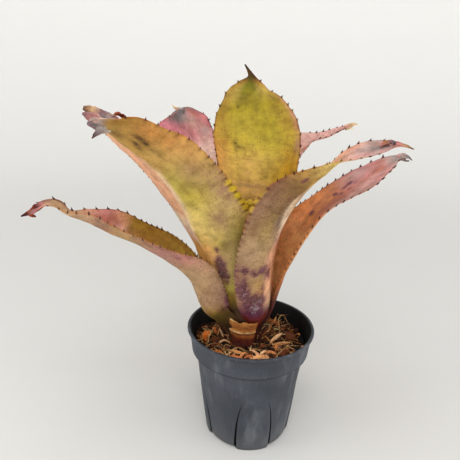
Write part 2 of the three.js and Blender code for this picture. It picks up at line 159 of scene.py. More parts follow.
class Finish:
    """A material, built round its Principled BSDF."""

    def __init__(self, name, **constants):
        self.material = bpy.data.materials.new(name)
        self.material.use_nodes = True
        self.tree = self.material.node_tree
        self.surface = self.tree.nodes["Principled BSDF"]
        for socket, value in constants.items():
            self.surface.inputs[socket.replace("_", " ")].default_value = value

    def put(self, socket, value):
        if isinstance(value, Wire):
            self.tree.links.new(value.socket, socket)
        elif isinstance(value, str):
            socket.default_value = (*pigment(value), 1)
        else:
            socket.default_value = value

    def node(self, kind, settings, inputs):
        made = self.tree.nodes.new("ShaderNode" + kind)
        for key, value in settings.items():
            if key == "stops":
                for place, colour in value[1:-1]:
                    made.color_ramp.elements.new(place)
                for element, (place, colour) in zip(made.color_ramp.elements, value):
                    element.position = place
                    element.color = (*pigment(colour), 1)
            else:
                setattr(made, key, value)
        for key, value in inputs.items():
            self.put(made.inputs[key], value)
        return Wire(self, made.outputs[0])

    def mix(self, share, first, second, blend="MIX"):
        """The first colour where share is 0, and the second where it is 1."""
        settings = {"data_type": "RGBA", "blend_type": blend}
        return self.node("Mix", settings, {0: share, 6: first, 7: second}).out(2)

    def here(self):
        """The place on the piece, in metres."""
        return self.node("TexCoord", {}, {}).out("Object")

    def blade_map(self):
        """The place on a leaf's own map, in mm along and across."""
        return self.node("UVMap", {"uv_map": "blade"}, {})

    def painted(self, name, output="Color"):
        """What is stored on the mesh under a name."""
        return self.node("Attribute", {"attribute_name": name}, {}).out(output)

    def noise(self, place, scale, detail=3, stretch=(1, 1, 1)):
        """Soft noise from 0 to 1; scale is features a unit, and stretch makes them long one way."""
        moved = self.node("Mapping", {}, {"Vector": place, "Scale": stretch})
        return self.node("TexNoise", {}, {"Vector": moved, "Scale": scale, "Detail": detail})

    def split(self, colour):
        """The red of a colour; its green and blue are other outputs."""
        return self.node("SeparateColor", {}, {"Color": colour})

    def spots(self, place, scale, size, share):
        """Round spots of one size in a share of the cells of a scattered pattern."""
        cells = self.node("TexVoronoi", {}, {"Vector": place, "Scale": scale})
        lot = self.split(cells.out("Color"))
        near = 1 - cells.step(0.5 * size, size)
        return near * (1 - lot.step(share - 0.02, share + 0.02))

    def finish(self, colour, roughness, height=None, depth=0.0003, strength=0.6):
        self.put(self.surface.inputs["Base Color"], colour)
        self.put(self.surface.inputs["Roughness"], roughness)
        if height is not None:
            bump = self.node("Bump", {}, {"Height": height, "Distance": depth, "Strength": strength})
            self.put(self.surface.inputs["Normal"], bump)
        return self.material


def pigment(colour):
    """A hex colour, as seen on a screen, as linear red, green and blue."""
    parts = [int(colour[i : i + 2], 16) / 255 for i in (0, 2, 4)]
    return [c / 12.92 if c <= 0.04045 else ((c + 0.055) / 1.055) ** 2.4 for c in parts]


# %% [markdown]
# ## Working on meshes
# A piece starts as a primitive or as a drawn section. Operators shape it in edit mode, as by hand, and
# where a form follows a formula its points are moved as one array. `spun` turns a section round the upright
# axis, as a potter does. `copies` lays a modelled shape at many places as one mesh, which is lighter than
# hundreds of objects. `keep` names a piece, gives it its body, and hides the plain solids that it
# stands for.


# %% Choosing and editing
def choose(*pieces):
    """Selects these pieces alone; the first is the active one."""
    bpy.ops.object.select_all(action="DESELECT")
    for piece in pieces:
        piece.select_set(True)
    if pieces:
        bpy.context.view_layer.objects.active = pieces[0]


def primitive(operator, **options):
    """Adds a primitive with nothing else selected, and puts its place in its mesh."""
    choose()
    operator(**options)
    bpy.ops.object.transform_apply(location=True, rotation=True, scale=True)
    return bpy.context.object


def edit(*steps):
    """Runs operators in edit mode with the whole mesh selected: (operator, its options)."""
    bpy.ops.object.mode_set(mode="EDIT")
    bpy.ops.mesh.select_all(action="SELECT")
    for operator, options in steps:
        operator(**options)
    bpy.ops.object.mode_set(mode="OBJECT")


def modifier(piece, kind, **settings):
    """Adds a modifier and applies it at once."""
    choose(piece)
    made = piece.modifiers.new(kind.lower(), kind)
    for key, value in settings.items():
        setattr(made, key, value)
    bpy.ops.object.modifier_apply(modifier=made.name)


def joined(*pieces):
    """Joins the pieces into the first one."""
    choose(*pieces)
    bpy.ops.object.join()
    return pieces[0]


# %% Points and sections
def coordinates(piece):
    """A piece's points as one array."""
    points = np.empty(len(piece.data.vertices) * 3)
    piece.data.vertices.foreach_get("co", points)
    return points.reshape(-1, 3)


def move(piece, points):
    """Gives a piece's points their new places, in metres."""
    piece.data.vertices.foreach_set("co", np.asarray(points, float).ravel())
    piece.data.update()


def new_piece(points, edges, faces):
    """A drawn mesh."""
    mesh = bpy.data.meshes.new("drawn")
    mesh.from_pydata([tuple(p) for p in points], edges, faces)
    piece = new_object("drawn", mesh)
    choose(piece)
    return piece


def spun(section, steps):
    """A section of [radius, height] turned once round the upright axis."""
    points = [(radius, 0, height) for radius, height in section]
    piece = new_piece(points, [(i, i + 1) for i in range(len(points) - 1)], [])
    turn = {"steps": steps, "angle": 2 * math.pi, "center": (0, 0, 0), "axis": (0, 0, 1)}
    edit((bpy.ops.mesh.spin, turn))
    edit((bpy.ops.mesh.remove_doubles, {"threshold": 1e-6}), (bpy.ops.mesh.normals_make_consistent, {}))
    return piece


# %% Colours, copies and names
def store_colours(piece, name, colours):
    """Stores a colour at each point, under a name that a shader reads."""
    layer = piece.data.color_attributes.new(name, "FLOAT_COLOR", "POINT")
    layer.data.foreach_set("color", np.c_[colours, np.ones(len(colours))].ravel())


def copies(template, places, tints=None):
    """One mesh of a shape laid at each 4 by 4 matrix, with a tint for each copy."""
    shape = np.c_[coordinates(template), np.ones(len(template.data.vertices))]
    faces = [tuple(face.vertices) for face in template.data.polygons]
    points = np.concatenate([shape @ np.array(place).T for place in places])[:, :3]
    size = len(shape)
    starts = range(0, len(points), size)
    piece = new_piece(points, [], [tuple(v + start for v in face) for start in starts for face in faces])
    if tints is not None:
        store_colours(piece, "tint", np.repeat(tints, size, axis=0))
    bpy.data.objects.remove(template)
    return piece


def smooth(piece):
    for face in piece.data.polygons:
        face.use_smooth = True


def keep(piece, name, slot, *nodes):
    """Names a piece, and says its body and the nodes that it stands for; the slot is not used."""
    piece.name = name
    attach(piece, "root")
    if nodes:
        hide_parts(*nodes)
    print(f"{name}: {len(piece.data.polygons)} faces")


# %% [markdown]
# ## The dish of paper under the pot
# It only catches the light and the soft shadow, so it is one spun section with a flat floor and a rising
# edge. The paper's rising part is lit through from behind, which keeps it paler than the floor from every
# side.

# %% Stage
STAGE_FLAT = 0.5
STAGE_RADIUS = 1.3
STAGE_CURVE = 0.8
STAGE_TOP = 2.4
CURVE_POINTS = 24
STAGE_STEPS = 128
GLOW_RISE = 0.45
GLOW_START = 0.09

curve = [(STAGE_RADIUS + STAGE_CURVE * math.sin(a), STAGE_CURVE * (1 - math.cos(a)))
         for a in np.linspace(0, math.pi / 2, CURVE_POINTS)]
stage = spun([(0, 0), (STAGE_FLAT, 0), *curve, (STAGE_RADIUS + STAGE_CURVE, STAGE_TOP)], STAGE_STEPS)
stage.name = "stage"
smooth(stage)

paper = Finish("paper", Emission_Strength=1)
distance = paper.node("VectorMath", {"operation": "LENGTH"}, {"Vector": paper.here()}).out("Value")
# Painted light: the paper glows, more the further it lies from the middle.
glow = paper.mix(distance * GLOW_RISE - GLOW_START, "000000", "AAAAA9")
paper.put(paper.surface.inputs["Emission Color"], glow)
stage.data.materials.append(paper.finish("D8D7D4", 0.8))
print("stage:", len(stage.data.polygons), "faces")

# %% [markdown]
# ## How a leaf is shaped
# The leaf of this plant is a stiff channel that arches outwards, narrows and twists on its way. It could be
# a profile swept along a curve, but its two halves differ in width and in curl, and both change along it.
# So a flat grid is carried to its place. Stations along the midrib give the place, the half width on each
# side, the twist, and how far each half curls up, with smooth curves through them. Each blade lies where
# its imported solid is.

# %% Leaf stations
# Azimuth is the way that a leaf faces, and keel the fold along its midrib, in degrees. A row is a station:
# x, y, z and the half widths left and right, in mm, then the twist and the curls left and right, in degrees
LEAVES = {
    "leaf_left": {
        "azimuth": 187,
        "rows": [
            [-20, -8, 108, 10, 16, 10, 40, 60], [-23, -8, 118, 15, 20, 10, 50, 65],
            [-32, -9, 128, 26, 29, 12, 60, 76], [-48, -10, 142, 34, 35, 11, 62, 85],
            [-61, -13, 175, 37, 37, 12, 66, 93], [-83, -15, 197, 34, 37, 5, 64, 61],
            [-110, -19, 215, 29, 33, 2, 60, 48], [-134, -21, 226.5, 27, 31, -2, 65, 61],
            [-154, -23, 235.5, 16, 22, -1, 65, 73], [-169, -25, 242, 5, 13, -10, 62, 67],
            [-179, -26, 250, 6, 6, -25, 50, 50], [-190, -27, 251, 4.5, 4.5, -30, 40, 40],
            [-200, -28, 245, 3, 3, -60, 30, 30], [-211, -29, 240, 0.6, 0.6, -90, 20, 20],
        ],
    },
    "leaf_right": {
        "azimuth": 14,
        "rows": [
            [8, -3, 122, 9, 9, 0, 36, 36], [15, -1, 132, 15, 15, 0, 42, 42],
            [21, 1, 146, 18, 22, 0, 47, 47], [25, 2, 166, 27, 32, -1, 50, 60],
            [33, 4, 194, 38, 36, -2, 40, 57], [46, 6, 220, 44, 37, -6, 33, 38],
            [61, 8, 242, 43, 36, -9, 25, 15], [82, 11, 260, 35, 34, -5, 15, 5],
            [102, 13, 274, 30, 30, -2, 5, 2], [122, 15, 286, 18, 21, -2, 11, 8],
            [134, 16, 294, 5, 7, 2, 18, 20], [142, 17, 294, 1.6, 1.6, 0, 20, 20],
        ],
    },
    "leaf_front_right": {
        "azimuth": 315,
        "rows": [
            [4, -16, 126, 9, 8, 1, 41, 38], [10, -22, 142, 22, 23, 2, 67, 58],
            [11, -28, 166, 29, 31, 3, 76, 63], [10, -32, 196, 31, 34, 2, 69, 63],
            [15, -36, 228, 32, 35, 3, 59, 64], [25, -40, 256, 34, 36, 0, 52, 64],
            [41, -43, 277, 28, 29, 2, 44, 53], [59, -48, 296, 17, 17, 14, 23, 26],
            [76, -50, 307, 10, 11, 41, 14, 15], [90, -53, 312, 9.5, 9, 40, 15, 15],
            [100, -56, 314, 6, 5.5, 30, 15, 15], [106, -57, 316, 3, 3, 0, 10, 10],
        ],
    },
    "leaf_front_left": {
        "azimuth": 212, "keel": 11,
        "rows": [
            [-18, -14, 128, 9, 9, 0, 36, 36], [-24, -17, 138, 21, 25, 9, 42, 53],
            [-36, -14, 170, 34, 40, 15, 32, 80], [-41, -21, 204, 38, 48, 20, 26, 67],
            [-53, -32, 233, 40, 51, 20, 20, 46], [-67, -44, 263, 40.5, 47, 22, 18, 40],
            [-83, -56, 290, 39, 40, 25, 20, 40], [-98, -66, 306, 34, 36, 21, 18, 26],
            [-111, -73, 319, 23, 29, 19, 15, 24], [-119, -77, 325, 14, 20, 10, 5, 15],
            [-124, -79, 328, 7, 12, 8, 5, 15],
        ],
    },
    "leaf_back_right": {
        "azimuth": 52,
        "rows": [
            [2, 4, 138, 9, 9, 0, 40, 40], [5, 8, 148, 20, 20, 0, 64, 64], [8, 15, 176, 28, 28, 0, 86, 58],
            [13, 28, 210, 32, 32, 0, 74, 50], [19, 42, 245, 30, 31, -1, 58, 42],
            [29, 56, 276, 23, 26, -1, 48, 36], [49, 68, 298, 15, 17, 2, 38, 41],
            [74, 78, 305, 8, 8.5, 2, 41, 43], [94, 85, 313, 3.2, 4, 2, 40, 42],
            [106, 90, 317, 1.2, 1.2, 0, 20, 20],
        ],
    },
    "leaf_back_left": {
        "azimuth": 142,
        "rows": [
            [-15, 1, 144, 9, 9, 0, 43, 43], [-18, 4, 154, 20, 20, 0, 72, 72],
            [-21, 11, 185, 30, 30, 0, 92, 72], [-33, 22, 224, 36, 36, 0, 66, 55],
            [-46, 34, 260, 37, 40, 1, 42, 36], [-62, 45, 292, 36, 43, 2, 17, 20],
            [-69, 51, 310, 33, 42, -1, 12, 9], [-72, 54, 321, 28, 32, -4, 13, 7],
            [-75, 56, 328, 17, 15, -1, 17, 15], [-78, 57, 331.5, 5, 4, 0, 20, 20],
        ],
    },
    "leaf_back": {
        "azimuth": 95,
        "rows": [
            [-7, 5, 150, 9, 9, 0, 49, 49], [-7, 6, 160, 18, 18, 0, 86, 86],
            [-5, 5, 188, 27, 27, 0, 100, 100], [-4, 12, 230, 36, 36, 0, 64, 64],
            [-1, 22, 272, 40, 40, 2, 36, 40], [-1, 33, 307, 43, 44, 1, 26, 28],
            [-5, 40, 330, 36, 38, 1, 22, 22], [-8, 44, 347, 24, 25.5, 1, 16, 17],
            [-8, 46, 357, 13.5, 13.5, 1, 14, 15], [-8, 47, 364, 4.4, 3.6, 1, 15, 16],
            [-10, 47, 369, 1.7, 1.7, 0, 15, 16], [-14, 48, 375, 0.6, 0.6, 0, 9, 10],
        ],
    },
    "leaf_heart": {
        "azimuth": 235,
        "rows": [
            [-10, -12, 156, 7, 7, 0, 53, 53], [-11, -13, 166, 10, 10, 0, 67, 67],
            [-12, -13, 205, 14, 14, 0, 80, 80], [-13, -15, 222, 16, 16, 0, 70, 70],
            [-11, -17, 236, 16, 16, 0, 50, 50], [-9, -18, 246, 14, 14, 0, 35, 35],
            [-8, -18, 252, 10, 10, 0, 25, 25], [-8, -18, 255, 4, 4, 0, 20, 20],
        ],
    },
}


# %% Curves through stations
NARROWEST = 0.5
LEAST_CURL = 0.01
LINE_STEPS = 601
NEXT_TO = 1e-3


def through(rows, t):
    """Rows of numbers at t, 0 to 1, on smooth curves through the stations."""
    rows = np.concatenate([[2 * rows[0] - rows[1]], rows, [2 * rows[-1] - rows[-2]]])
    place = np.clip(t, 0, 1 - 1e-9) * (len(rows) - 3)
    i = place.astype(int)
    f = (place - i)[:, None]
    a, b, c, d = rows[i], rows[i + 1], rows[i + 2], rows[i + 3]
    return 0.5 * (2 * b + (c - a) * f + (2 * a - 5 * b + 4 * c - d) * f**2 + (3 * b - a - 3 * c + d) * f**3)


def unit(vectors):
    """The same directions, one long."""
    return vectors / np.linalg.norm(vectors, axis=1)[:, None]


class Blade:
    """The middle surface of a leaf: s runs 0 to 1 from foot to tip, and q runs -1 to 1 from edge to edge."""

    def __init__(self, azimuth, rows, keel=0):
        facing = math.radians(azimuth)
        self.rows = np.array(rows, float)
        self.round_about = np.array([-math.sin(facing), math.cos(facing), 0])
        self.keel = math.radians(keel)
        self.steps = np.linspace(0, 1, LINE_STEPS)
        line = through(self.rows, self.steps)[:, :3]
        self.shares = np.r_[0, np.cumsum(np.linalg.norm(np.diff(line, axis=0), axis=1))]
        self.length = self.shares[-1]

    def rows_at(self, s):
        """The stations' numbers at shares of the blade's length."""
        t = np.interp(s * self.length, self.shares, self.steps)
        return t, through(self.rows, t)

    def half(self, s, q):
        """The half width in mm on the side of q."""
        _, row = self.rows_at(s)
        return np.maximum(np.where(q < 0, row[:, 3], row[:, 4]), NARROWEST)

    def at(self, s, q):
        """Points in mm, with the ways along, outwards and to the inner face at each."""
        t, row = self.rows_at(s)
        ahead = through(self.rows, np.minimum(t + NEXT_TO, 1))
        behind = through(self.rows, np.maximum(t - NEXT_TO, 0))
        along = unit((ahead - behind)[:, :3])
        side = unit(self.round_about - along * (along @ self.round_about)[:, None])
        up = np.cross(along, side)
        twist = np.radians(row[:, 5])[:, None]
        side, up = side * np.cos(twist) + up * np.sin(twist), up * np.cos(twist) - side * np.sin(twist)
        hand = np.where(q < 0, -1, 1)
        curl = np.maximum(np.radians(np.where(q < 0, row[:, 6], row[:, 7])), LEAST_CURL)
        keel = self.keel * np.sin(np.pi * t)
        half = self.half(s, q)
        turn = keel + curl * np.abs(q)
        across = hand * half * (np.sin(turn) - np.sin(keel)) / curl
        rise = half * (np.cos(keel) - np.cos(turn)) / curl
        points = row[:, :3] + across[:, None] * side + rise[:, None] * up
        outward = side * (hand * np.cos(turn))[:, None] + up * np.sin(turn)[:, None]
        inward = up * np.cos(turn)[:, None] - side * (hand * np.sin(turn))[:, None]
        return points, along, outward, inward


blades = {name: Blade(**leaf) for name, leaf in LEAVES.items()}
print("leaf lengths, mm:", {name: round(blade.length) for name, blade in blades.items()})

# %% [markdown]
# ## Leaf colours
# A leaf's ground colour changes from foot to tip and differs on its two faces, and broad patches, bruises
# and spots lie over it. A pattern in the shader alone can't put a bruise in its place. So these are painted
# on the mesh, where each point knows how far along and across the blade it is, and the shader breaks them
# up with freckles, cross bands and bloom, as on the real skin.

# %% Pigments
PIGMENTS = {
    "green": "4A5200", "leaf": "9C8E20", "moss": "BCA850", "lime": "B2A034", "olive": "96742C",
    "deep_olive": "64501A", "yellow": "C4AA46", "bright": "C8AA28", "wheat": "DEC474", "gilt": "A88000",
    "ochre": "B8924A", "amber": "D0A85E", "orange": "D08A48", "flame": "E2924C", "rust": "A8622A",
    "brick": "B06448", "peach": "ECB28C", "salmon": "D6A07E", "rose": "C48684", "pink": "D8ACA2",
    "shell": "FFDAD0", "cream": "EEDABC", "tan": "A68660", "bronze": "A87C2C", "sepia": "765230",
    "mauve": "96725E", "plum": "5A2C3C", "dusk": "75626A", "straw": "C2A07A", "ash": "AE9E98",
    "grey": "726E6E", "umber": "3A2410", "ink": "1E120C", "maroon": "4E1A14", "blush": "CE7C88",
    "chestnut": "5E1C08", "kraft": "B87A3A", "paper": "EAC48C", "pear": "D2C05A", "apricot": "FFC27A",
}

# %% How a skin is written down
# inner, outer: the ground, as (place along, pigment). inner_patches, outer_patches: (place along, place
# across, reach along in mm, reach across, pigment, share). bruises: as patches, without a pigment.
# inner_marks, outer_marks: freckles and bands at the foot, then freckles and bands at the tip, as shares.
# strip: a line across the blade, as (place along, place across), the side that it covers, and its ground
SKINS = {}

# %% Colours of leaf_left
# Tan and mauve outside; moss green inside, then rose and straw, with a maroon tip. The pale pear low inside
# is partly its own colour and partly painted light, set paler against the shade deep in the rosette
SKINS["leaf_left"] = {
    "inner": [
        (0, "moss"), (0.3, "pear"), (0.4, "pear"), (0.46, "moss"), (0.53, "olive"), (0.6, "olive"),
        (0.635, "salmon"), (0.7, "rose"), (0.8, "straw"), (0.88, "straw"), (0.93, "rose"),
        (0.97, "maroon"), (1, "ink"),
    ],
    "outer": [
        (0, "umber"), (0.08, "umber"), (0.14, "deep_olive"), (0.19, "olive"), (0.24, "tan"),
        (0.4, "tan"), (0.5, "mauve"), (0.62, "tan"), (0.7, "mauve"), (0.8, "straw"), (0.9, "straw"),
        (0.95, "maroon"), (1, "ink"),
    ],
    "inner_patches": [
        (0.69, -0.5, 16, 0.3, "brick", 0.6), (0.64, -0.2, 12, 0.3, "pink", 0.6),
        (0.57, -0.9, 20, 0.25, "lime", 0.5), (0.56, 0, 14, 0.3, "rust", 0.5),
        (0.47, -0.2, 16, 0.2, "rust", 0.35), (0.47, -0.5, 24, 0.6, "umber", 0.35),
        (0.47, -0.5, 24, 0.5, "bronze", 0.6), (0.9, -0.6, 8, 0.5, "umber", 0.6),
        (0.86, -0.9, 12, 0.2, "maroon", 0.8), (0.77, 0.6, 16, 0.3, "orange", 0.5),
    ],
    "outer_patches": [
        (0.46, 0.7, 26, 0.3, "rose", 0.5), (0.4, 0.95, 14, 0.25, "blush", 0.4),
        (0.34, 0.55, 12, 0.4, "straw", 0.5), (0.3, 0.2, 22, 0.5, "tan", 0.6),
        (0.25, 0.85, 14, 0.25, "mauve", 0.8), (0.22, 0.35, 12, 0.3, "mauve", 0.4),
        (0.6, 0.6, 20, 0.3, "amber", 0.4), (0.67, 0.6, 5, 0.12, "brick", 0.6),
        (0.55, 0.3, 30, 0.3, "mauve", 0.4), (0.17, 0.9, 14, 0.25, "umber", 0.8),
    ],
    "bruises": [
        (0.2, 0.97, 20, 0.1, 0.9), (0.185, 0.68, 3, 0.04, 0.9), (0.43, 0.8, 5, 0.1, 0.5),
        (0.5, 0.95, 5, 0.1, 0.5),
    ],
    "inner_marks": (0.4, 0.1, 0.4, 0.1), "outer_marks": (1, 0.2, 0.4, 0.2),
}

# %% Colours of leaf_right
# Apricot inside, turning brick and rose towards a grey tip, with a row of dark spots. The apricot low down
# is partly its own orange and partly a painted glow of light shining through the leaf
SKINS["leaf_right"] = {
    "inner": [
        (0, "maroon"), (0.1, "maroon"), (0.18, "orange"), (0.24, "apricot"), (0.46, "apricot"),
        (0.53, "flame"), (0.6, "brick"), (0.68, "brick"), (0.76, "rose"), (0.9, "rose"), (0.95, "ash"),
        (1, "grey"),
    ],
    "outer": [
        (0, "maroon"), (0.16, "maroon"), (0.26, "rust"), (0.5, "orange"), (0.62, "salmon"),
        (0.9, "pink"), (1, "ash"),
    ],
    "inner_patches": [
        (0.47, 0.75, 30, 0.4, "peach", 0.4), (0.58, 0.75, 22, 0.35, "flame", 0.8),
        (0.6, 0.1, 26, 0.25, "orange", 0.7), (0.68, 0.7, 20, 0.3, "orange", 0.5),
        (0.5, -0.6, 30, 0.3, "brick", 0.7), (0.62, -0.85, 34, 0.25, "pink", 0.9),
        (0.74, -0.8, 26, 0.25, "pink", 0.9), (0.8, 0.5, 20, 0.4, "ash", 0.45),
        (0.78, -0.2, 22, 0.12, "brick", 0.7), (0.87, 0, 8, 0.3, "brick", 0.7),
        (0.9, 0.6, 9, 0.2, "brick", 0.6), (0.82, -0.4, 16, 0.2, "pink", 0.6),
        (0.5, 0.95, 20, 0.2, "rust", 0.5),
    ],
    "bruises": [
        (0.552, 0.23, 3.6, 0.09, 1.5), (0.675, 0.12, 3, 0.14, 1.2), (0.69, -0.1, 3, 0.12, 1),
        (0.72, 0.14, 4, 0.09, 1.1), (0.75, 0.2, 5, 0.1, 1), (0.77, 0.02, 4, 0.08, 0.9),
        (0.73, -0.12, 3, 0.08, 0.8),
    ],
    "inner_marks": (0.4, 0.1, 0.4, 0.1), "outer_marks": (0.4, 0.2, 0.3, 0.2),
}

# %% Colours of leaf_front_right
# Tan and banded outside, with a large old bruise at its foot and a pale strip past its fold
SKINS["leaf_front_right"] = {
    "inner": [
        (0, "umber"), (0.3, "umber"), (0.5, "salmon"), (0.8, "salmon"), (0.86, "pink"), (0.93, "ash"),
        (1, "rose"),
    ],
    "outer": [
        (0, "chestnut"), (0.08, "chestnut"), (0.11, "plum"), (0.18, "tan"), (0.28, "tan"),
        (0.42, "tan"), (0.55, "sepia"), (0.64, "sepia"), (0.7, "ochre"), (0.78, "wheat"), (0.9, "moss"),
        (1, "rose"),
    ],
    "inner_patches": [
        (0.955, 0.45, 7, 0.4, "brick", 0.5), (0.93, 0, 16, 0.4, "grey", 0.7),
        (0.89, -0.6, 12, 0.3, "rose", 0.7), (0.86, 0.85, 10, 0.3, "orange", 0.5),
    ],
    "outer_patches": [
        (0.59, -0.6, 20, 0.45, "dusk", 0.35), (0.52, -0.8, 20, 0.3, "mauve", 0.7),
        (0.46, -0.4, 26, 0.4, "moss", 0.3), (0.38, -0.6, 14, 0.4, "dusk", 0.25),
        (0.43, 0.1, 12, 0.1, "dusk", 0.7), (0.5, -0.1, 14, 0.12, "dusk", 0.4),
        (0.37, -0.55, 14, 0.4, "straw", 0.3), (0.23, -0.25, 12, 0.3, "ochre", 0.6),
        (0.64, -0.5, 18, 0.4, "olive", 0.4),
    ],
    "bruises": [
        (0.15, -0.42, 17, 0.42, 1.5), (0.225, -0.75, 15, 0.28, 1.15), (0.312, -0.75, 6, 0.22, 1),
        (0.3, -0.45, 5, 0.22, 0.85), (0.31, -0.18, 5, 0.2, 0.9), (0.3, -0.9, 8, 0.2, 0.8),
        (0.29, 0.05, 10, 0.13, 1), (0.3, -0.1, 26, 0.035, 0.75), (0.21, -0.17, 16, 0.035, 0.7),
        (0.435, 0.1, 8, 0.05, 0.8), (0.69, -0.5, 5, 0.12, 0.9), (0.6, -0.3, 5, 0.08, 0.5),
    ],
    "inner_marks": (0.3, 0.2, 0.3, 0.2), "outer_marks": (1.3, 0.4, 1, 0.4),
    "strip": (
        [(0.1, -0.18), (0.17, -0.13), (0.28, -0.05), (0.36, -0.1), (0.45, 0.08), (0.52, -0.03),
         (0.6, -0.12), (0.66, -0.02), (1, 0.4)],
        1,
        [(0.1, "straw"), (0.24, "peach"), (0.4, "salmon"), (0.5, "cream"), (0.62, "straw"),
         (0.75, "wheat")],
    ),
}

# %% Colours of leaf_front_left
# Moss green and wheat outside, with orange and mauve patches, a pale strip and an ashen tip. Its dark umber
# foot is partly its own colour and partly painted shade deep between the leaves
SKINS["leaf_front_left"] = {
    "inner": [(0, "umber"), (0.3, "umber"), (0.5, "amber"), (0.8, "salmon"), (1, "ash")],
    "outer": [
        (0, "umber"), (0.08, "umber"), (0.12, "olive"), (0.18, "moss"), (0.32, "straw"), (0.38, "moss"),
        (0.46, "wheat"), (0.54, "wheat"), (0.62, "moss"), (0.7, "moss"), (0.78, "amber"),
        (0.86, "ochre"), (0.93, "ochre"), (0.98, "ochre"), (1, "ash"),
    ],
    "outer_patches": [
        (0.6, 0.35, 30, 0.3, "lime", 0.6), (0.79, 0.8, 24, 0.25, "orange", 0.45),
        (0.9, 0.75, 12, 0.3, "orange", 0.4), (0.6, 0.85, 26, 0.24, "mauve", 0.9),
        (0.5, 0.55, 18, 0.22, "mauve", 0.85), (0.7, 0.5, 16, 0.3, "mauve", 0.45),
        (0.42, 0.75, 24, 0.25, "moss", 0.7), (0.36, 0.5, 16, 0.2, "mauve", 0.5),
        (0.3, 0.45, 14, 0.2, "moss", 0.6), (0.46, 0.1, 20, 0.18, "wheat", 0.6),
        (0.34, -0.05, 22, 0.2, "apricot", 0.9), (0.885, 0.45, 5, 0.07, "umber", 0.9),
        (0.86, 0.41, 4, 0.07, "umber", 0.9), (0.83, 0.36, 4, 0.06, "umber", 0.6),
        (0.79, 0.33, 7, 0.05, "umber", 0.35), (0.88, 0.24, 4, 0.06, "umber", 0.8),
        (0.86, 0.18, 5, 0.05, "umber", 0.6), (0.93, 0.1, 6, 0.2, "umber", 0.4),
        (0.95, 0.8, 9, 0.4, "olive", 0.7), (0.72, 0.15, 9, 0.08, "umber", 0.25),
        (0.37, 0.34, 5, 0.05, "umber", 0.4),
    ],
    "bruises": [
        (0.28, 0.19, 14, 0.11, 1.7), (0.24, 0.3, 9, 0.08, 1.2), (0.365, 0.19, 5, 0.06, 1),
        (0.42, -0.1, 6, 0.025, 0.7), (0.385, -0.13, 6, 0.025, 0.7), (0.35, -0.12, 5, 0.03, 0.6),
    ],
    "inner_marks": (0.3, 0.3, 0.3, 0.2), "outer_marks": (0.5, 0.1, 0.25, 0.15),
    "strip": (
        [(0.25, -0.24), (0.39, -0.14), (0.45, -0.1), (0.5, -0.06), (0.58, 0.01), (0.68, 0.04),
         (0.75, -0.01), (0.8, -0.06), (0.87, -0.12), (0.95, -0.4)],
        -1,
        [(0.25, "apricot"), (0.36, "apricot"), (0.42, "shell"), (0.48, "cream"), (0.55, "salmon"),
         (0.95, "peach")],
    ),
}

# %% Colours of leaf_back_right
# Pink, with dark, dry nicks along its edge
SKINS["leaf_back_right"] = {
    "inner": [
        (0, "deep_olive"), (0.5, "salmon"), (0.7, "pink"), (0.92, "pink"), (0.97, "rose"), (1, "straw"),
    ],
    "outer": [
        (0, "tan"), (0.5, "salmon"), (0.9, "pink"), (0.94, "umber"), (0.97, "straw"), (1, "cream"),
    ],
    "inner_patches": [
        (0.8, 0.1, 30, 0.6, "rose", 0.25), (0.92, -0.7, 7, 0.4, "umber", 0.9),
        (0.84, -0.6, 5, 0.4, "chestnut", 0.5), (0.72, -0.8, 6, 0.3, "rust", 0.6),
    ],
    "outer_patches": [(0.85, -0.8, 14, 0.3, "brick", 0.5), (0.93, -0.5, 6, 0.6, "umber", 0.8)],
    "inner_marks": (0.8, 0.1, 0.8, 0.1), "outer_marks": (0.5, 0.2, 0.3, 0.2),
}

# %% Colours of leaf_back_left
# Pale pink inside, rosier above, with a grey tip. The shell pink low inside is partly its own colour and
# partly painted light, set paler against the shade there
SKINS["leaf_back_left"] = {
    "inner": [
        (0, "deep_olive"), (0.5, "shell"), (0.74, "shell"), (0.82, "blush"), (0.95, "blush"),
        (1, "grey"),
    ],
    "outer": [(0, "tan"), (0.5, "salmon"), (1, "rose")],
    "inner_patches": [
        (0.78, -0.5, 22, 0.6, "shell", 1), (0.86, -0.2, 12, 0.3, "blush", 0.5),
        (0.92, 0.3, 9, 0.4, "blush", 0.5), (0.965, 0.25, 9, 0.45, "grey", 1),
        (0.985, 0.5, 12, 0.5, "grey", 1), (0.93, -0.3, 8, 0.3, "pink", 0.9),
        (0.88, -0.7, 6, 0.2, "ash", 0.7), (0.95, -0.1, 5, 0.3, "ash", 0.6),
        (0.97, -0.6, 5, 0.2, "brick", 0.7),
    ],
    "inner_marks": (0.3, 0.1, 0.3, 0.1), "outer_marks": (0.5, 0.3, 0.3, 0.2),
}
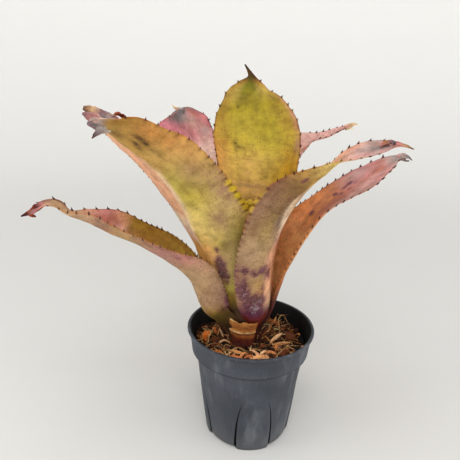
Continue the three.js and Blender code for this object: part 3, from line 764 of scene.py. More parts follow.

# %% Colours of leaf_back
# Yellow at its foot, lime above, and green under its black tip, a green deepened into painted shade in the
# hollow of the hooded tip
SKINS["leaf_back"] = {
    "inner": [
        (0, "bright"), (0.36, "bright"), (0.43, "ochre"), (0.47, "amber"), (0.53, "yellow"),
        (0.6, "yellow"), (0.66, "lime"), (0.76, "lime"), (0.83, "leaf"), (0.89, "moss"),
        (0.925, "olive"), (0.945, "umber"), (1, "ink"),
    ],
    "outer": [(0, "olive"), (0.5, "olive"), (0.9, "lime"), (0.94, "umber"), (1, "ink")],
    "inner_patches": [
        (0.6, 0.92, 30, 0.25, "flame", 0.6), (0.66, 0.85, 8, 0.2, "rust", 0.35),
        (0.54, 0.75, 18, 0.25, "amber", 0.5), (0.55, -0.85, 26, 0.3, "gilt", 1),
        (0.5, -0.6, 14, 0.3, "gilt", 0.9), (0.75, -0.85, 34, 0.3, "olive", 0.5),
        (0.8, -0.97, 30, 0.07, "salmon", 0.7), (0.8, 0.85, 34, 0.25, "olive", 0.55),
        (0.895, 0.04, 11, 0.36, "green", 1.4), (0.86, 0.06, 12, 0.3, "leaf", 0.7),
        (0.75, -0.25, 22, 0.35, "leaf", 0.7), (0.83, 0, 20, 0.4, "leaf", 0.3),
        (0.55, 0.12, 20, 0.35, "amber", 0.6), (0.49, 0.05, 3, 0.5, "mauve", 0.4),
        (0.667, 0.5, 2.5, 0.06, "umber", 0.7), (0.65, 0.4, 2, 0.05, "umber", 0.6),
        (0.638, 0.47, 3, 0.04, "umber", 0.5), (0.6, 0.62, 2, 0.04, "umber", 0.5),
        (0.8, 0.05, 1.2, 0.03, "umber", 0.8), (0.83, 0.4, 1.5, 0.03, "umber", 0.6),
        (0.56, -0.2, 1.5, 0.03, "deep_olive", 0.9), (0.545, -0.12, 1.5, 0.03, "deep_olive", 0.9),
        (0.53, -0.25, 1.5, 0.03, "deep_olive", 0.9), (0.57, -0.3, 1.5, 0.03, "deep_olive", 0.8),
        (0.52, -0.15, 1.5, 0.03, "deep_olive", 0.8), (0.66, -0.92, 5, 0.05, "mauve", 0.8),
        (0.845, -0.75, 3, 0.05, "plum", 0.6),
    ],
    "inner_marks": (0.5, 0.3, 0.35, 0.3), "outer_marks": (0.5, 0.3, 0.3, 0.2),
}

# %% Colours of leaf_heart
# Olive, and yellow only on its lobed rim
SKINS["leaf_heart"] = {
    "inner": [(0, "olive"), (1, "olive")],
    "outer": [(0, "olive"), (0.9, "olive"), (1, "lime")],
}

# %% Tools for painting
def ramp(values, start, end):
    """0 up to the start and 1 from the end on; the end may be the lower one."""
    return np.clip((values - start) / (end - start), 0, 1)


def near(distance, reach):
    """1 at no distance, falling smoothly towards 0 past the reach."""
    return np.exp(-((distance / reach) ** 2))


def cloud(points, size, seed, rough=0.7):
    """Cloudy noise, about -1 to 1, at points in mm; size is that of a cloud in mm."""
    shift = Vector((seed * 7.3, seed * 3.1, seed * 5.7))
    return np.array([noise.fractal(Vector(p) / size + shift, rough, 2.2, 3) for p in points])


def clouds(points, size, seeds):
    """Three clouds at once, to move points every way."""
    return np.stack([cloud(points, size, seed) for seed in seeds], axis=1)


def nearness(blade, patch, s, q):
    """1 in the middle of a patch, falling smoothly to 0 round it."""
    at, across, reach_s, reach_q = patch[:4]
    return near((s - at) * blade.length, reach_s) * near(q - across, reach_q)


def along_stops(stops, s):
    """Pigments interpolated along the blade."""
    colours = np.array([pigment(PIGMENTS[name]) for _, name in stops])
    return np.stack([np.interp(s, [place for place, _ in stops], colours[:, c]) for c in range(3)], axis=1)


def blend(colour, share, name):
    """Mixes a share of a pigment into the colours, in place."""
    colour += np.clip(share, 0, 1)[:, None] * (np.array(pigment(PIGMENTS[name])) - colour)


# %% Painting a blade
BROAD_CLOUD = 16
FINE_CLOUD = 5
FULL_BRUISE = 1.5
FRECKLE_STOPS = [0.12, 0.3, 0.75]
BAND_STOPS = [0.3, 0.75]
STRIP_BLUR = 0.03
HIGHLIGHT_WIDTH = 0.045


def paint_strip(colour, strip, s, q, wander):
    """Paints a leaf's strip, and a painted highlight in cream along its fold, in place."""
    line, hand, stops = strip
    past = hand * (q - np.interp(s, *zip(*line))) + 0.015 * wander
    share = ramp(past, -STRIP_BLUR, STRIP_BLUR) * ramp(s, line[0][0], line[0][0] + 2 * STRIP_BLUR) * 0.95
    colour += share[:, None] * (along_stops(stops, s) - colour)
    # A painted highlight: a cream line along the crest of the fold.
    crest_highlight = near(past - STRIP_BLUR, HIGHLIGHT_WIDTH) * ramp(s, 0.42, 0.52) * ramp(s, 0.86, 0.76)
    blend(colour, 0.65 * crest_highlight, "cream")


def paint(piece, blade, skin, s, q, points, edge_paint):
    """Paints each face's colours, and its bruises, freckles and bands, on the mesh."""
    wander = cloud(points, BROAD_CLOUD, 3)
    ragged = cloud(points, FINE_CLOUD, 8)
    for face in ("inner", "outer"):
        colour = along_stops(skin[face], s + 0.015 * wander)
        for patch in skin.get(face + "_patches", []):
            broken = 1 + 0.4 * wander + 0.3 * ragged
            blend(colour, patch[5] * nearness(blade, patch, s, q) * broken, patch[4])
        if face == "outer" and "strip" in skin:
            paint_strip(colour, skin["strip"], s, q, wander)
        if edge_paint is not None:
            lobes, notches, rim = edge_paint
            # The lobes' yellow: partly their own colour, partly painted light shining through them.
            blend(colour, lobes, "bright")
            blend(colour, 0.55 * rim * (1 + ragged), "rust" if face == "outer" else "maroon")
            blend(colour, notches, "maroon")
        bruise = np.zeros(len(s))
        for patch in skin.get("bruises", []):
            bruise = np.maximum(bruise, patch[4] * nearness(blade, patch, s, q) * (1 + 0.55 * ragged))
        freckle_foot, band_foot, freckle_tip, band_tip = skin.get(face + "_marks", (0, 0, 0, 0))
        freckles = np.interp(s, FRECKLE_STOPS, [0, freckle_foot, freckle_tip])
        bands = np.interp(s, BAND_STOPS, [band_foot, band_tip])
        store_colours(piece, face + "_skin", np.clip(colour, 0, 1))
        store_colours(piece, face + "_marks", np.clip(np.c_[bruise / FULL_BRUISE, freckles, bands], 0, 1))


# %% [markdown]
# ## Leaf skin
# The skin is tough and satiny. Fine veins run along it, silvery scales make faint bands across it, and dark
# freckles are scattered in drifts. Freckles can be scattered in space, but veins and bands have to follow
# the blade, so those read the blade's own map. Both are in real measures, so a pattern keeps its size on
# every leaf. Bruises are where the paint says: a soft purple stain, thick with dark dots, and silvery where
# it is oldest.


# %% Leaf skin
def leaf_skin(face):
    """The skin of the inner or the outer face."""
    finish = Finish("leaf_" + face, Specular_IOR_Level=0.2, Subsurface_Weight=0.15, Subsurface_Scale=0.005)
    colour = finish.painted(face + "_skin")
    marks = finish.split(finish.painted(face + "_marks"))
    bruise, freckles, bands = marks, marks.out("Green"), marks.out("Blue")
    here = finish.here()
    blade_map = finish.blade_map()
    streak = finish.noise(blade_map, 1, 4, (0.03, 0.3, 1))
    vein = finish.noise(blade_map, 1, 2, (0.02, 1.1, 1))
    band = finish.noise(blade_map, 1, 3, (0.4, 0.06, 1))
    blotch = finish.noise(here, 110, 5)
    fleck = finish.noise(here, 480, 4)
    drift = finish.noise(here, 38, 3)

    colour = finish.mix(streak.step(0.5, 0.8) * 0.22, colour, "9A7A50", "MULTIPLY")
    colour = finish.mix((1 - blotch.step(0.3, 0.56)) * 0.38, colour, "A08868", "MULTIPLY")
    colour = finish.mix(blotch.step(0.48, 0.7), colour, "68645C", "DODGE")
    colour = finish.mix(band.step(0.5, 0.7) * bands * 0.7, colour, "8C7068", "MULTIPLY")
    colour = finish.mix(fleck.step(0.5, 0.72) * 0.24, colour, "946E50", "MULTIPLY")
    colour = finish.mix(vein.step(0.5, 0.8) * 0.1, colour, "8A6844", "MULTIPLY")

    torn_bruise = bruise + 0.5 * (blotch - 0.5)
    stained = torn_bruise.step(0.08, 0.62)
    old = torn_bruise.step(0.8, 1.05)
    dotted = freckles + bruise * 1.2
    fine = finish.spots(here, 620, 0.4, 0.9 * dotted)
    coarse = finish.spots(here, 360, 0.24, 0.4 * dotted)
    dense = 0.12 + 0.88 * drift.step(0.42, 0.6)
    stain = finish.mix(fleck.step(0.42, 0.62), "3E142C", "703E56")
    stain = finish.mix((1 - bruise.step(0.25, 0.6)) * 0.6, stain, "80364E")
    stain = finish.mix(old * fleck.step(0.3, 0.62) * 0.7, stain, "A0949A")
    colour = finish.mix(stained * 0.84, colour, stain)
    colour = finish.mix(fine * (dense + stained) * 0.65, colour, "64302A")
    colour = finish.mix(coarse * (dense + stained) * 0.7, colour, "48201C")
    roughness = 0.48 + 0.2 * blotch + 0.1 * fleck
    height = vein * 0.4 + fleck * 0.25 + streak * 0.5 + blotch * 0.5
    return finish.finish(colour, roughness, height, 0.0004, 0.3)


def horn():
    """The dark horn of the spines."""
    finish = Finish("horn", Specular_IOR_Level=0.25)
    grain = finish.noise(finish.here(), 600)
    colour = finish.mix(grain.step(0.35, 0.7), "26120A", "5A2816")
    return finish.finish(colour, 0.45, grain, 0.0002, 0.4)


SKIN_MATERIALS = [leaf_skin("inner"), leaf_skin("outer"), horn()]
print("leaf materials:", [material.name for material in SKIN_MATERIALS])

# %% [markdown]
# ## Spines
# Each edge of a leaf carries small, dark, forward-pointing spines. They sit close together at the foot, in
# the notches of a lobed edge, and further apart towards the tip, each on a small tooth. They could be drawn
# out of the edge itself, but that needs a fine mesh all along it. One spine is modelled as a cone that is
# flattened and bent forward, and copied to its places.


# %% Spines
SPINES_START = 0.12
SPINES_END = 0.97
SPINES_NARROWEST = 3
SPINE_SINK = 0.4
GROWING = [0.25, 0.75]


def spine_template():
    """A spine one long, with its foot at the origin."""
    spine = primitive(bpy.ops.mesh.primitive_cone_add, vertices=6, radius1=0.5, radius2=0.04, depth=1,
                      location=(0, 0, 0.5))
    edit((bpy.ops.mesh.bisect, {"plane_co": (0, 0, 0.4), "plane_no": (0, 0, 1)}))
    points = coordinates(spine)
    points[:, 1] *= 0.55
    points[:, 0] += 0.35 * points[:, 2] ** 2
    move(spine, points)
    return spine


def spine_places(blade, hand, gaps, sizes):
    """Places along one edge, with the gap and the size growing from foot to tip, both in mm."""
    at = SPINES_START * blade.length
    places = []
    while at < SPINES_END * blade.length:
        places.append(at / blade.length)
        at += np.interp(places[-1], GROWING, gaps) * chance.uniform(0.75, 1.2)
    s = np.array(places)
    s = s[blade.half(s, np.full(len(s), hand)) > SPINES_NARROWEST]
    return s, np.interp(s, [0.25, 0.7], sizes) * np.array([chance.uniform(0.75, 1.15) for _ in s])


def spine_matrices(blade, hand, s, sizes):
    """Spines that lean out, towards the inner face and forward."""
    points, along, outward, inward = blade.at(s, np.full(len(s), float(hand)))
    matrices = []
    for point, forward, out, size in zip(points, along, outward + 0.45 * inward, sizes):
        lean = unit((out + 0.35 * forward)[None])[0]
        ahead = unit((forward - lean * (forward @ lean))[None])[0]
        matrix = np.eye(4)
        axes = [ahead * size * 0.85, np.cross(lean, ahead) * size * 0.8, lean * size]
        matrix[:3, :3] = np.column_stack(axes) * MM
        matrix[:3, 3] = (point - lean * SPINE_SINK) * MM
        matrices.append(matrix)
    return matrices


# %% [markdown]
# ## Fleshy sheets
# A leaf is fleshy in its middle and thin at its edges. Two surfaces could be modelled and closed by hand,
# but one painted sheet with Solidify, weighted by a vertex group, does the same and keeps both faces
# exactly opposite. The inner face takes the first material, and the outer face and the rim the second.


# %% Fleshy sheets
ALONG_CELL = 0.8
MAP_HALF_WIDTH = 40


def flat_grid(blade, across_cells):
    """A square grid as numbers along and across, with its cells closer together at the edges."""
    cells = max(4, int(blade.length / ALONG_CELL))
    counts = {"x_subdivisions": cells, "y_subdivisions": across_cells}
    piece = primitive(bpy.ops.mesh.primitive_grid_add, size=2, **counts)
    flat = coordinates(piece)
    return piece, (flat[:, 0] + 1) / 2, flat[:, 1] * (1.35 - 0.35 * flat[:, 1] ** 2)


def fleshed(piece, blade, s, q, thickness, points, skin, edge_paint=None):
    """Paints a sheet, maps it in mm, and gives it thickness."""
    paint(piece, blade, skin, s, q, points, edge_paint)
    corner = np.empty(len(piece.data.loops), int)
    piece.data.loops.foreach_get("vertex_index", corner)
    blade_map = piece.data.uv_layers[0]
    blade_map.name = "blade"
    blade_map.data.foreach_set("uv", np.c_[s * blade.length, q * MAP_HALF_WIDTH][corner].ravel())
    group = piece.vertex_groups.new(name="flesh")
    flesh = np.clip((1 - 0.65 * q**2) * (1 - 0.45 * s), 0.1, 1)
    for i, weight in enumerate(flesh):
        group.add([i], weight, "REPLACE")
    for material in SKIN_MATERIALS:
        piece.data.materials.append(material)
    modifier(piece, "SOLIDIFY", thickness=thickness * MM, offset=0, vertex_group="flesh",
             material_offset=1, material_offset_rim=1)
    piece.vertex_groups.clear()
    return piece


# %% [markdown]
# ## Lobed edges
# Between its spines an edge swells into small lobes. On most leaves they hardly show, but on the young
# ones, low down, they are deep, fleshy and yellow, a yellow that is partly their own and partly painted
# light shining through them. The rim could be cut to a drawn outline, but the spines' places are drawn by
# chance, so the lobes are worked out from them: each point of the grid near the edge is moved outwards by a
# wave that dips at every spine.

# %% Edges of each leaf
# The gaps between spines at foot and tip, and their sizes there, in mm. Then the left edge and the right
# edge: the lobes as (place along, depth in mm), and where they are yellow, partly as painted light through
# them, as (from, to, share)
GREEN = (0, 0, 0)
FAINT = ([(0, 0.6), (0.5, 0)], GREEN)
PLAIN = ([(0, 0.8), (0.5, 0)], GREEN)
SCALLOPED = ([(0, 1.4), (0.5, 1.8), (0.56, 0.4), (1, 0)], (0.3, 0.54, 0.9))
BEADED = ([(0, 2), (1, 2)], (0, 1.1, 1))
EDGES = {
    "leaf_left": ((3.6, 9.5), (2.6, 3.2), ([(0, 0.8), (0.5, 0.6), (0.6, 0)], GREEN), FAINT),
    "leaf_right": ((4, 9), (2.6, 3.8), PLAIN, PLAIN),
    "leaf_front_right": (
        (4, 8), (1.8, 3),
        ([(0.1, 0.5), (0.45, 0.8), (0.52, 1.6), (0.6, 1.4), (0.75, 0)], (0.5, 0.6, 0.7)), FAINT,
    ),
    "leaf_front_left": (
        (5, 8.7), (1.8, 2.4), ([(0, 0.8), (0.6, 0.4), (0.8, 0)], GREEN),
        ([(0.1, 0.5), (0.42, 0.8), (0.5, 3), (0.61, 3.3), (0.65, 1.2), (1, 0.6)], (0.47, 0.64, 1)),
    ),
    "leaf_back_right": ((4, 8), (2, 2.6), ([(0, 1), (0.9, 1.4), (1, 0)], GREEN), PLAIN),
    "leaf_back_left": ((4, 7), (2, 2.6), ([(0, 1), (0.8, 2), (0.95, 0.8)], GREEN), PLAIN),
    "leaf_back": ((4.6, 9), (1.8, 2.9), SCALLOPED, SCALLOPED),
    "leaf_heart": ((4.6, 4.6), (1, 1), BEADED, BEADED),
}


# %% Edge shape
RIM_START = 0.85
TOOTH_WIDTH = 1.3
NOTCH_WIDTH = 1.1
DEEP_LOBE = 1.5


def edge_shape(blade, hand, gaps, sizes, lobed_edge, s, q):
    """One edge: its spines, and at each point how far it stands out, its notches, and its yellow, partly
    painted light through the lobes.
    """
    lobes, (start, end, share) = lobed_edge
    places, lengths = spine_places(blade, hand, gaps, sizes)
    beaded = share * (start < places) * (places < end)
    spines = spine_matrices(blade, hand, places, lengths * (1 - 0.7 * beaded))

    half = blade.half(s, q)
    here = (q * hand > 0) * np.clip(half / 8, 0, 1)
    rim = ramp(np.abs(q), RIM_START, 1)
    apart = np.abs(s[:, None] - places).min(axis=1) * blade.length
    phase = np.interp(s, places, np.arange(len(places)))
    depth = np.interp(s, *zip(*lobes))
    deep = np.clip(depth / DEEP_LOBE, 0, 1)
    lobe = (np.abs(np.sin(np.pi * phase)) ** 0.6 - 0.4) * depth
    tooth = near(apart, TOOTH_WIDTH) * np.clip(TOOTH_WIDTH - depth, 0, 1.1)
    notches = near(apart, NOTCH_WIDTH) * deep * here * ramp(rim, 0.2, 0.7) * 0.9

    gap = np.interp(s, GROWING, gaps)
    bead = 0.3 + 0.8 * depth
    from_middle = np.hypot((gap / 2 - apart) / (0.5 * gap), (1 - np.abs(q)) * half / bead - 0.6)
    yellow_span = ramp(s, start, start + 0.03) * ramp(s, end, end - 0.03)
    yellow = share * yellow_span * deep * here * ramp(from_middle, 1.2, 0.95)
    return spines, (lobe + tooth) * rim * here, notches, yellow


# %% [markdown]
# ## Beads in the heart
# The tip of the youngest leaf ends in a cluster of swollen yellow lobes. They are too round to be drawn out
# of a thin sheet, so each is a small sphere, pinched and made uneven, that is laid on the rim and joined to
# its leaf.


# %% Beads
# x, y, z and width in mm
BEADS = {
    "leaf_heart": [
        (-17, -27, 254, 5.4), (-12.4, -28, 257.5, 6), (-7.2, -28, 258, 6.2), (-2.4, -27, 256.5, 6.2),
        (2.4, -26, 254, 5.6), (-10.4, -29, 252.5, 5.8), (-5.2, -29, 251.5, 6), (-7.6, -29, 246, 5.6),
        (-0.4, -28, 250, 5),
    ],
}
UNIT_TO_CLOUD = 30


def bead_skin():
    finish = Finish("bead", Specular_IOR_Level=0.25, Subsurface_Weight=0.2, Subsurface_Scale=0.003)
    here = finish.here()
    mottle = finish.noise(here, 420, 3)
    colour = finish.mix(mottle.step(0.35, 0.7), "C2A018", "D8C048")
    colour = finish.mix(finish.noise(here, 240, 2).step(0.55, 0.7) * 0.6, colour, "7A5A14")
    return finish.finish(colour, 0.5, mottle, 0.0003, 0.4)


def beads(places):
    """Rounded lobes, each pinched towards its free end."""
    lobe = primitive(bpy.ops.mesh.primitive_uv_sphere_add, segments=12, ring_count=8, radius=0.5)
    points = coordinates(lobe)
    points[:, 1] *= 0.7
    points[:, 0] *= 1 - 0.5 * points[:, 2]
    points += 0.06 * clouds(points * UNIT_TO_CLOUD, 14, range(3))
    move(lobe, points)
    turns = [Matrix.Rotation(math.radians(chance.uniform(-50, 50)), 4, "Y") for _ in places]
    made = copies(lobe, [Matrix.Translation(Vector(place) * MM) @ turn @ Matrix.Scale(width * MM, 4)
                         for (*place, width), turn in zip(places, turns)])
    made.data.materials.append(bead_skin())
    return made


# %% [markdown]
# ## Torn, dry tips
# The ends of old leaves dry out, split and curl. Cutting them into the blade would need a finer mesh than
# the rest, so each shred is a small blade of its own that starts inside the tip, with its own stations,
# twist and pigments, and is crumpled by noise.

# %% Shreds
# Twist in degrees, pigments from root to end, then stations: x, y, z and half width in mm
SHREDS = {
    "leaf_front_left": [
        (72, ["rose", "ash", "dusk", "straw", "umber"],
         [[-110, -75, 328, 5], [-116, -77, 331, 5], [-122, -79, 334.5, 4.6], [-128, -80, 337.5, 3.4],
          [-132, -81, 339, 1.4]]),
        (66, ["brick", "pink", "rose", "dusk"],
         [[-112, -75, 327, 5], [-119, -78, 329.5, 4.8], [-126, -80, 332, 4], [-130, -81, 334, 2.4],
          [-133, -81, 335, 0.8]]),
        (80, ["pink", "cream", "pink", "ash"],
         [[-112, -76, 327, 4.5], [-118, -79, 328, 4], [-124, -81, 330, 3], [-128, -81, 330.5, 1]]),
        (84, ["ash", "cream", "grey", "dusk"],
         [[-112, -76, 326, 6], [-118, -79, 326.5, 6.5], [-124, -81, 327.5, 4.6], [-130, -81, 328, 1.2]]),
        (70, ["cream", "ash", "grey", "umber"],
         [[-113, -77, 325, 5], [-118, -80, 324, 5], [-122, -81, 321.5, 3.4], [-127, -81, 317.5, 0.6]]),
        (30, ["rust", "chestnut", "brick", "maroon"],
         [[-104, -70, 331, 2.2], [-107, -72, 333.5, 2.8], [-110.5, -73.5, 334, 2.8],
          [-113, -74.5, 330, 1.8]]),
    ],
    "leaf_left": [
        (40, ["rose", "maroon", "brick", "umber"],
         [[-190, -27, 251, 4], [-197, -27, 247, 4.4], [-203, -27, 242, 2.6], [-199, -26, 239, 0.7]]),
    ],
    "leaf_right": [
        (60, ["rose", "ash", "grey", "umber"],
         [[133, 16, 294, 3.4], [139, 17, 296, 2.6], [144, 17, 295, 1.4], [148, 18, 292, 0.6]]),
        (50, ["ash", "grey", "umber"], [[135, 16, 294, 2.4], [140, 15, 292, 1.6], [144, 14, 292, 0.6]]),
    ],
    "leaf_front_right": [
        (20, ["rose", "rust", "dusk", "umber"],
         [[93, -55, 314, 2.4], [97, -56, 317, 2.8], [101, -57, 318, 2.2], [104, -58, 315, 1]]),
        (50, ["pink", "rose", "straw", "umber"],
         [[100, -56, 315, 4], [106, -57, 316, 2.6], [112, -58, 315, 1.4], [118, -59, 313, 0.5]]),
    ],
    "leaf_back_right": [
        (60, ["pink", "straw", "cream"],
         [[97, 87, 314, 3], [103, 89, 316.5, 2.4], [108, 90.5, 318, 1.6], [113, 91.5, 317, 0.5]]),
        (60, ["straw", "cream"], [[98, 87, 314, 2.6], [103, 88.5, 314, 1.6], [107, 90, 313, 0.6]]),
    ],
    "leaf_back_left": [
        (70, ["grey", "ash", "straw", "cream"],
         [[-73, 54, 329, 4], [-79, 56, 330, 3], [-84, 57, 333, 1.4], [-86, 58, 335, 0.5]]),
        (80, ["grey", "grey", "ash", "straw"],
         [[-74, 55, 326, 6], [-82, 56, 324, 5], [-89, 57, 320, 3], [-94, 57, 317, 0.6]]),
    ],
}
SHRED_CELLS = 14
SHRED_THICKNESS = 0.6
DRY_MARKS = (0.3, 0.4, 0.3, 0.4)


def shred(twist, colours, stations, azimuth, seed):
    """A torn, curled strip of dried leaf."""
    rows = []
    for x, y, z, half in stations:
        turned = twist + chance.uniform(-12, 12)
        rows.append([x, y, z, half, half, turned, chance.uniform(15, 50), chance.uniform(15, 50)])
    blade = Blade(azimuth, rows)
    piece, s, q = flat_grid(blade, SHRED_CELLS)
    points, _, outward, inward = blade.at(s, q)
    torn = cloud(points, 2.5, seed + chance.random())
    folds = np.sin(7 * q + 3 * s + twist) * (1 - s) + 0.6 * torn
    points += outward * (0.9 * torn * np.abs(q) * (1 - 0.5 * s))[:, None] + inward * (0.7 * folds)[:, None]
    move(piece, points * MM)
    stops = list(zip(np.linspace(0, 1, len(colours)), colours))
    dry = {"inner": stops, "outer": stops, "outer_patches": [(0.4, -0.6, 5, 0.4, "ash", 0.5)],
           "inner_marks": DRY_MARKS, "outer_marks": DRY_MARKS}
    return fleshed(piece, blade, s, q, SHRED_THICKNESS, points, dry)


# %% [markdown]
# ## Making the leaves
# For each leaf: a grid is carried to its blade, a soft fold is raised along its strip if it has one, its
# edges are lobed and toothed, gentle waves are added, and it gets its flesh. The spines, the shreds and the
# beads are joined on, because the whole leaf grew as one.


# %% Leaves
ACROSS_CELLS = 32
LEAF_THICKNESS = 2.0
# A fold along a leaf's strip: its height in mm towards the outer face, and its width across
FOLDS = {"leaf_front_left": (2.6, 0.09), "leaf_front_right": (1.3, 0.08)}


def fold(line, height, width, s, q):
    """How far a fold along a line stands out of the outer face, in mm."""
    ridge = np.exp(-np.abs(q - np.interp(s, *zip(*line))) / width)
    return height * ridge * ramp(s, 0.15, 0.35) * ramp(s, 0.95, 0.75)


def leaf(name, seed):
    """A whole leaf, as one mesh."""
    blade, skin = blades[name], SKINS[name]
    gaps, sizes, *lobed_edges = EDGES[name]
    piece, s, q = flat_grid(blade, ACROSS_CELLS)
    half = blade.half(s, q)
    points, _, outward, inward = blade.at(s, q)
    if name in FOLDS:
        points -= inward * fold(skin["strip"][0], *FOLDS[name], s, q)[:, None]
    notches, yellow, spines = np.zeros(len(s)), np.zeros(len(s)), []
    for hand, lobed_edge in zip((-1, 1), lobed_edges):
        edge_spines, out, notched, lobe_yellow_and_glow = edge_shape(blade, hand, gaps, sizes, lobed_edge, s, q)
        spines += edge_spines
        points += outward * out[:, None]
        notches += notched
        yellow += lobe_yellow_and_glow

    calm = np.clip(s / 0.25, 0, 1) * np.clip(half / 12, 0.2, 1)
    waves = 0.8 * cloud(points, 34, seed) + 0.35 * cloud(points, 12, seed + 20) * np.abs(q) ** 3
    points += inward * (waves * calm)[:, None]
    move(piece, points * MM)
    rim = ramp(np.abs(q), 0.965, 0.985) * ramp(s, 0.3, 0.5) * (1 - yellow)
    sheets = [fleshed(piece, blade, s, q, LEAF_THICKNESS, points, skin, (yellow, notches, rim))]
    sheets += [shred(*torn, LEAVES[name]["azimuth"], seed) for torn in SHREDS.get(name, [])]
    thorns = copies(spine_template(), spines)
    thorns.data.materials.append(SKIN_MATERIALS[2])
    if name in BEADS:
        sheets.append(beads(BEADS[name]))
    return joined(*sheets, thorns)


slots = {subpart["node"]: subpart["material_slot"] for subpart in frame["record"]["subparts"]}
for seed, name in enumerate(LEAVES):
    made = leaf(name, seed)
    smooth(made)
    keep(made, name.replace("leaf", "blade"), slots[name], name)

# %% [markdown]
# ## The pot
# A nursery pot is blown thin from black plastic. Its section is one outline from the underside, up the
# outside, round the lip and down the inside, spun like any turned shape, so the wall has its real
# thickness. Four tongues stand out a little from the wall and reach the foot. Moving the spun wall's points
# makes them, because their sides blend into it. A slit runs up each side of a tongue, and water drains
# through six holes, which are cut by a boolean.

# %% Pot measures
POT_HEIGHT = 121
RIM_RADIUS = 65
COLLAR_FOOT = 96.5
COLLAR_RADII = (60, 63.2)
BODY_TOP_RADIUS = 56
BASE_RADIUS = 43
WALL = 1.6
FLOOR = 2
POT_STEPS = 240


def outer_radius(z):
    """The wall's outside, without tongues."""
    body = np.interp(z, [0, COLLAR_FOOT], [BASE_RADIUS, BODY_TOP_RADIUS])
    return np.where(z > COLLAR_FOOT, np.interp(z, [COLLAR_FOOT, POT_HEIGHT], COLLAR_RADII), body)


def wall(start, end, count, inset=0):
    """Points of the section up or down the wall."""
    return [(float(outer_radius(z)) - inset, z) for z in np.linspace(start, end, count)]


def around(radius, height, offsets):
    """Points of the section near one corner."""
    return [(radius + aside, height + up) for aside, up in offsets]


# %% Pot section
section = [(0, 0), (20, 0), (36, 0)]
section += around(BASE_RADIUS, 0, [(-1.4, 0), (-0.2, 0.5), (0.2, 1.6)])
section += wall(4, 94, 37)
section += around(BODY_TOP_RADIUS, COLLAR_FOOT, [(0, -0.7), (0.2, -0.2), (1.2, -0.1)])
section += around(COLLAR_RADII[0], COLLAR_FOOT, [(-0.4, 0), (0.1, 0.3), (0.2, 1)])
section += wall(101, 117, 6)
section += around(RIM_RADIUS, POT_HEIGHT, [(-1.8, -2.7), (-1.1, -2.4), (-0.4, -2.1), (0, -1.5), (0, -0.8)])
section += around(RIM_RADIUS, POT_HEIGHT, [(-0.4, -0.2), (-1, 0), (-2.4, 0), (-3.1, -0.3), (-3.4, -1)])
section += wall(117, 99.5, 6, inset=WALL)
section += around(COLLAR_RADII[0] - WALL, COLLAR_FOOT, [(0, 1.9), (-0.5, 1.3), (-3, 0.7)])
section += around(BODY_TOP_RADIUS - WALL, COLLAR_FOOT, [(0.2, -0.1), (-0.1, -1.3)])
section += wall(92, 4, 23, inset=WALL)
section += around(BASE_RADIUS - WALL, FLOOR, [(0, 0.8), (-0.8, 0)]) + [(30, FLOOR), (0, FLOOR)]
pot = spun([(r * MM, z * MM) for r, z in section], POT_STEPS)
print("pot section:", len(section), "points")

# %% Tongues and foot
TONGUES = 4
TONGUE_AZIMUTH = -83.5
TONGUE_HALF_ANGLE = 23.5
TONGUE_HEIGHT = 80
TONGUE_BULGE = 1.5
TONGUE_SIDE = 6
FOOT_GAP = 1.6
DENT_SIZE = 45
DENT_DEPTH = 0.004


def tongue_edge(z):
    """Half the angle across a tongue, in degrees, at a height."""
    return TONGUE_HALF_ANGLE * np.sqrt(np.clip(1 - (z / TONGUE_HEIGHT) ** 2, 0, 1))


def from_tongue(points):
    """The angle to the middle of the nearest tongue, in degrees."""
    turn = np.degrees(np.arctan2(points[:, 1], points[:, 0])) - TONGUE_AZIMUTH
    return np.abs((turn + 180 / TONGUES) % (360 / TONGUES) - 180 / TONGUES)


points = coordinates(pot) / MM
radius = np.hypot(points[:, 0], points[:, 1])
height = points[:, 2].copy()
within = tongue_edge(height) - from_tongue(points)
rise = np.clip((within + 1) / TONGUE_SIDE, 0, 1)
rise = rise * rise * (3 - 2 * rise) * np.clip(1 - (height / TONGUE_HEIGHT) ** 2, 0, 1)
on_wall = ramp(radius, 38, 42) * (height < COLLAR_FOOT)
# It only catches the light and the soft shadow, so it is one spun section with a flat floor and a rising
# edge. The paper's rising part has a painted glow, which grows the further it lies from the middle and keeps
# it paler than the floor from every side.
points[:, :2] *= (1 + TONGUE_BULGE * rise * on_wall / np.maximum(radius, 1))[:, None]
between_tongues = (within < 0) & (radius > 40) & (height < 1.7)
points[:, 2] = np.maximum(height + FOOT_GAP * between_tongues, 0)
dent = cloud(points, DENT_SIZE, 5) * ramp(points[:, 2], POT_HEIGHT, POT_HEIGHT - 20)
points[:, :2] *= (1 + DENT_DEPTH * dent)[:, None]
move(pot, points * MM)
print("tongues stand out by", TONGUE_BULGE, "mm")

# %% Slits and drain holes
SLIT_HEIGHTS = np.linspace(3, 64, 18)
SLIT_HALF_WIDTHS = ([3, 20, 64], [1.35, 1.1, 0.12])
SLIT_REACH = 4
DRAIN_HOLES = 6
DRAIN_RING = 26 * MM
DRAIN_RADIUS = 4 * MM
DRAIN_CUT = 8 * MM


def slit_cutter(azimuth_of):
    """A thin, tapering plate through the wall, that follows a tongue's edge."""
    corners = []
    for z in SLIT_HEIGHTS:
        half = np.interp(z, *SLIT_HALF_WIDTHS)
        middle = math.radians(azimuth_of(z))
        way = np.array([math.cos(middle), math.sin(middle)])
        aside = np.array([-way[1], way[0]])
        for reach, hand in ((-1, -1), (1, -1), (1, 1), (-1, 1)):
            corners.append([*((outer_radius(z) + SLIT_REACH * reach) * way + half * hand * aside), z])
    last = len(corners) - 4
    faces = [(i + j, i + (j + 1) % 4, i + 4 + (j + 1) % 4, i + 4 + j)
             for i in range(0, last, 4) for j in range(4)]
    faces += [(3, 2, 1, 0), (last, last + 1, last + 2, last + 3)]
    return new_piece(np.array(corners) * MM, [], faces)


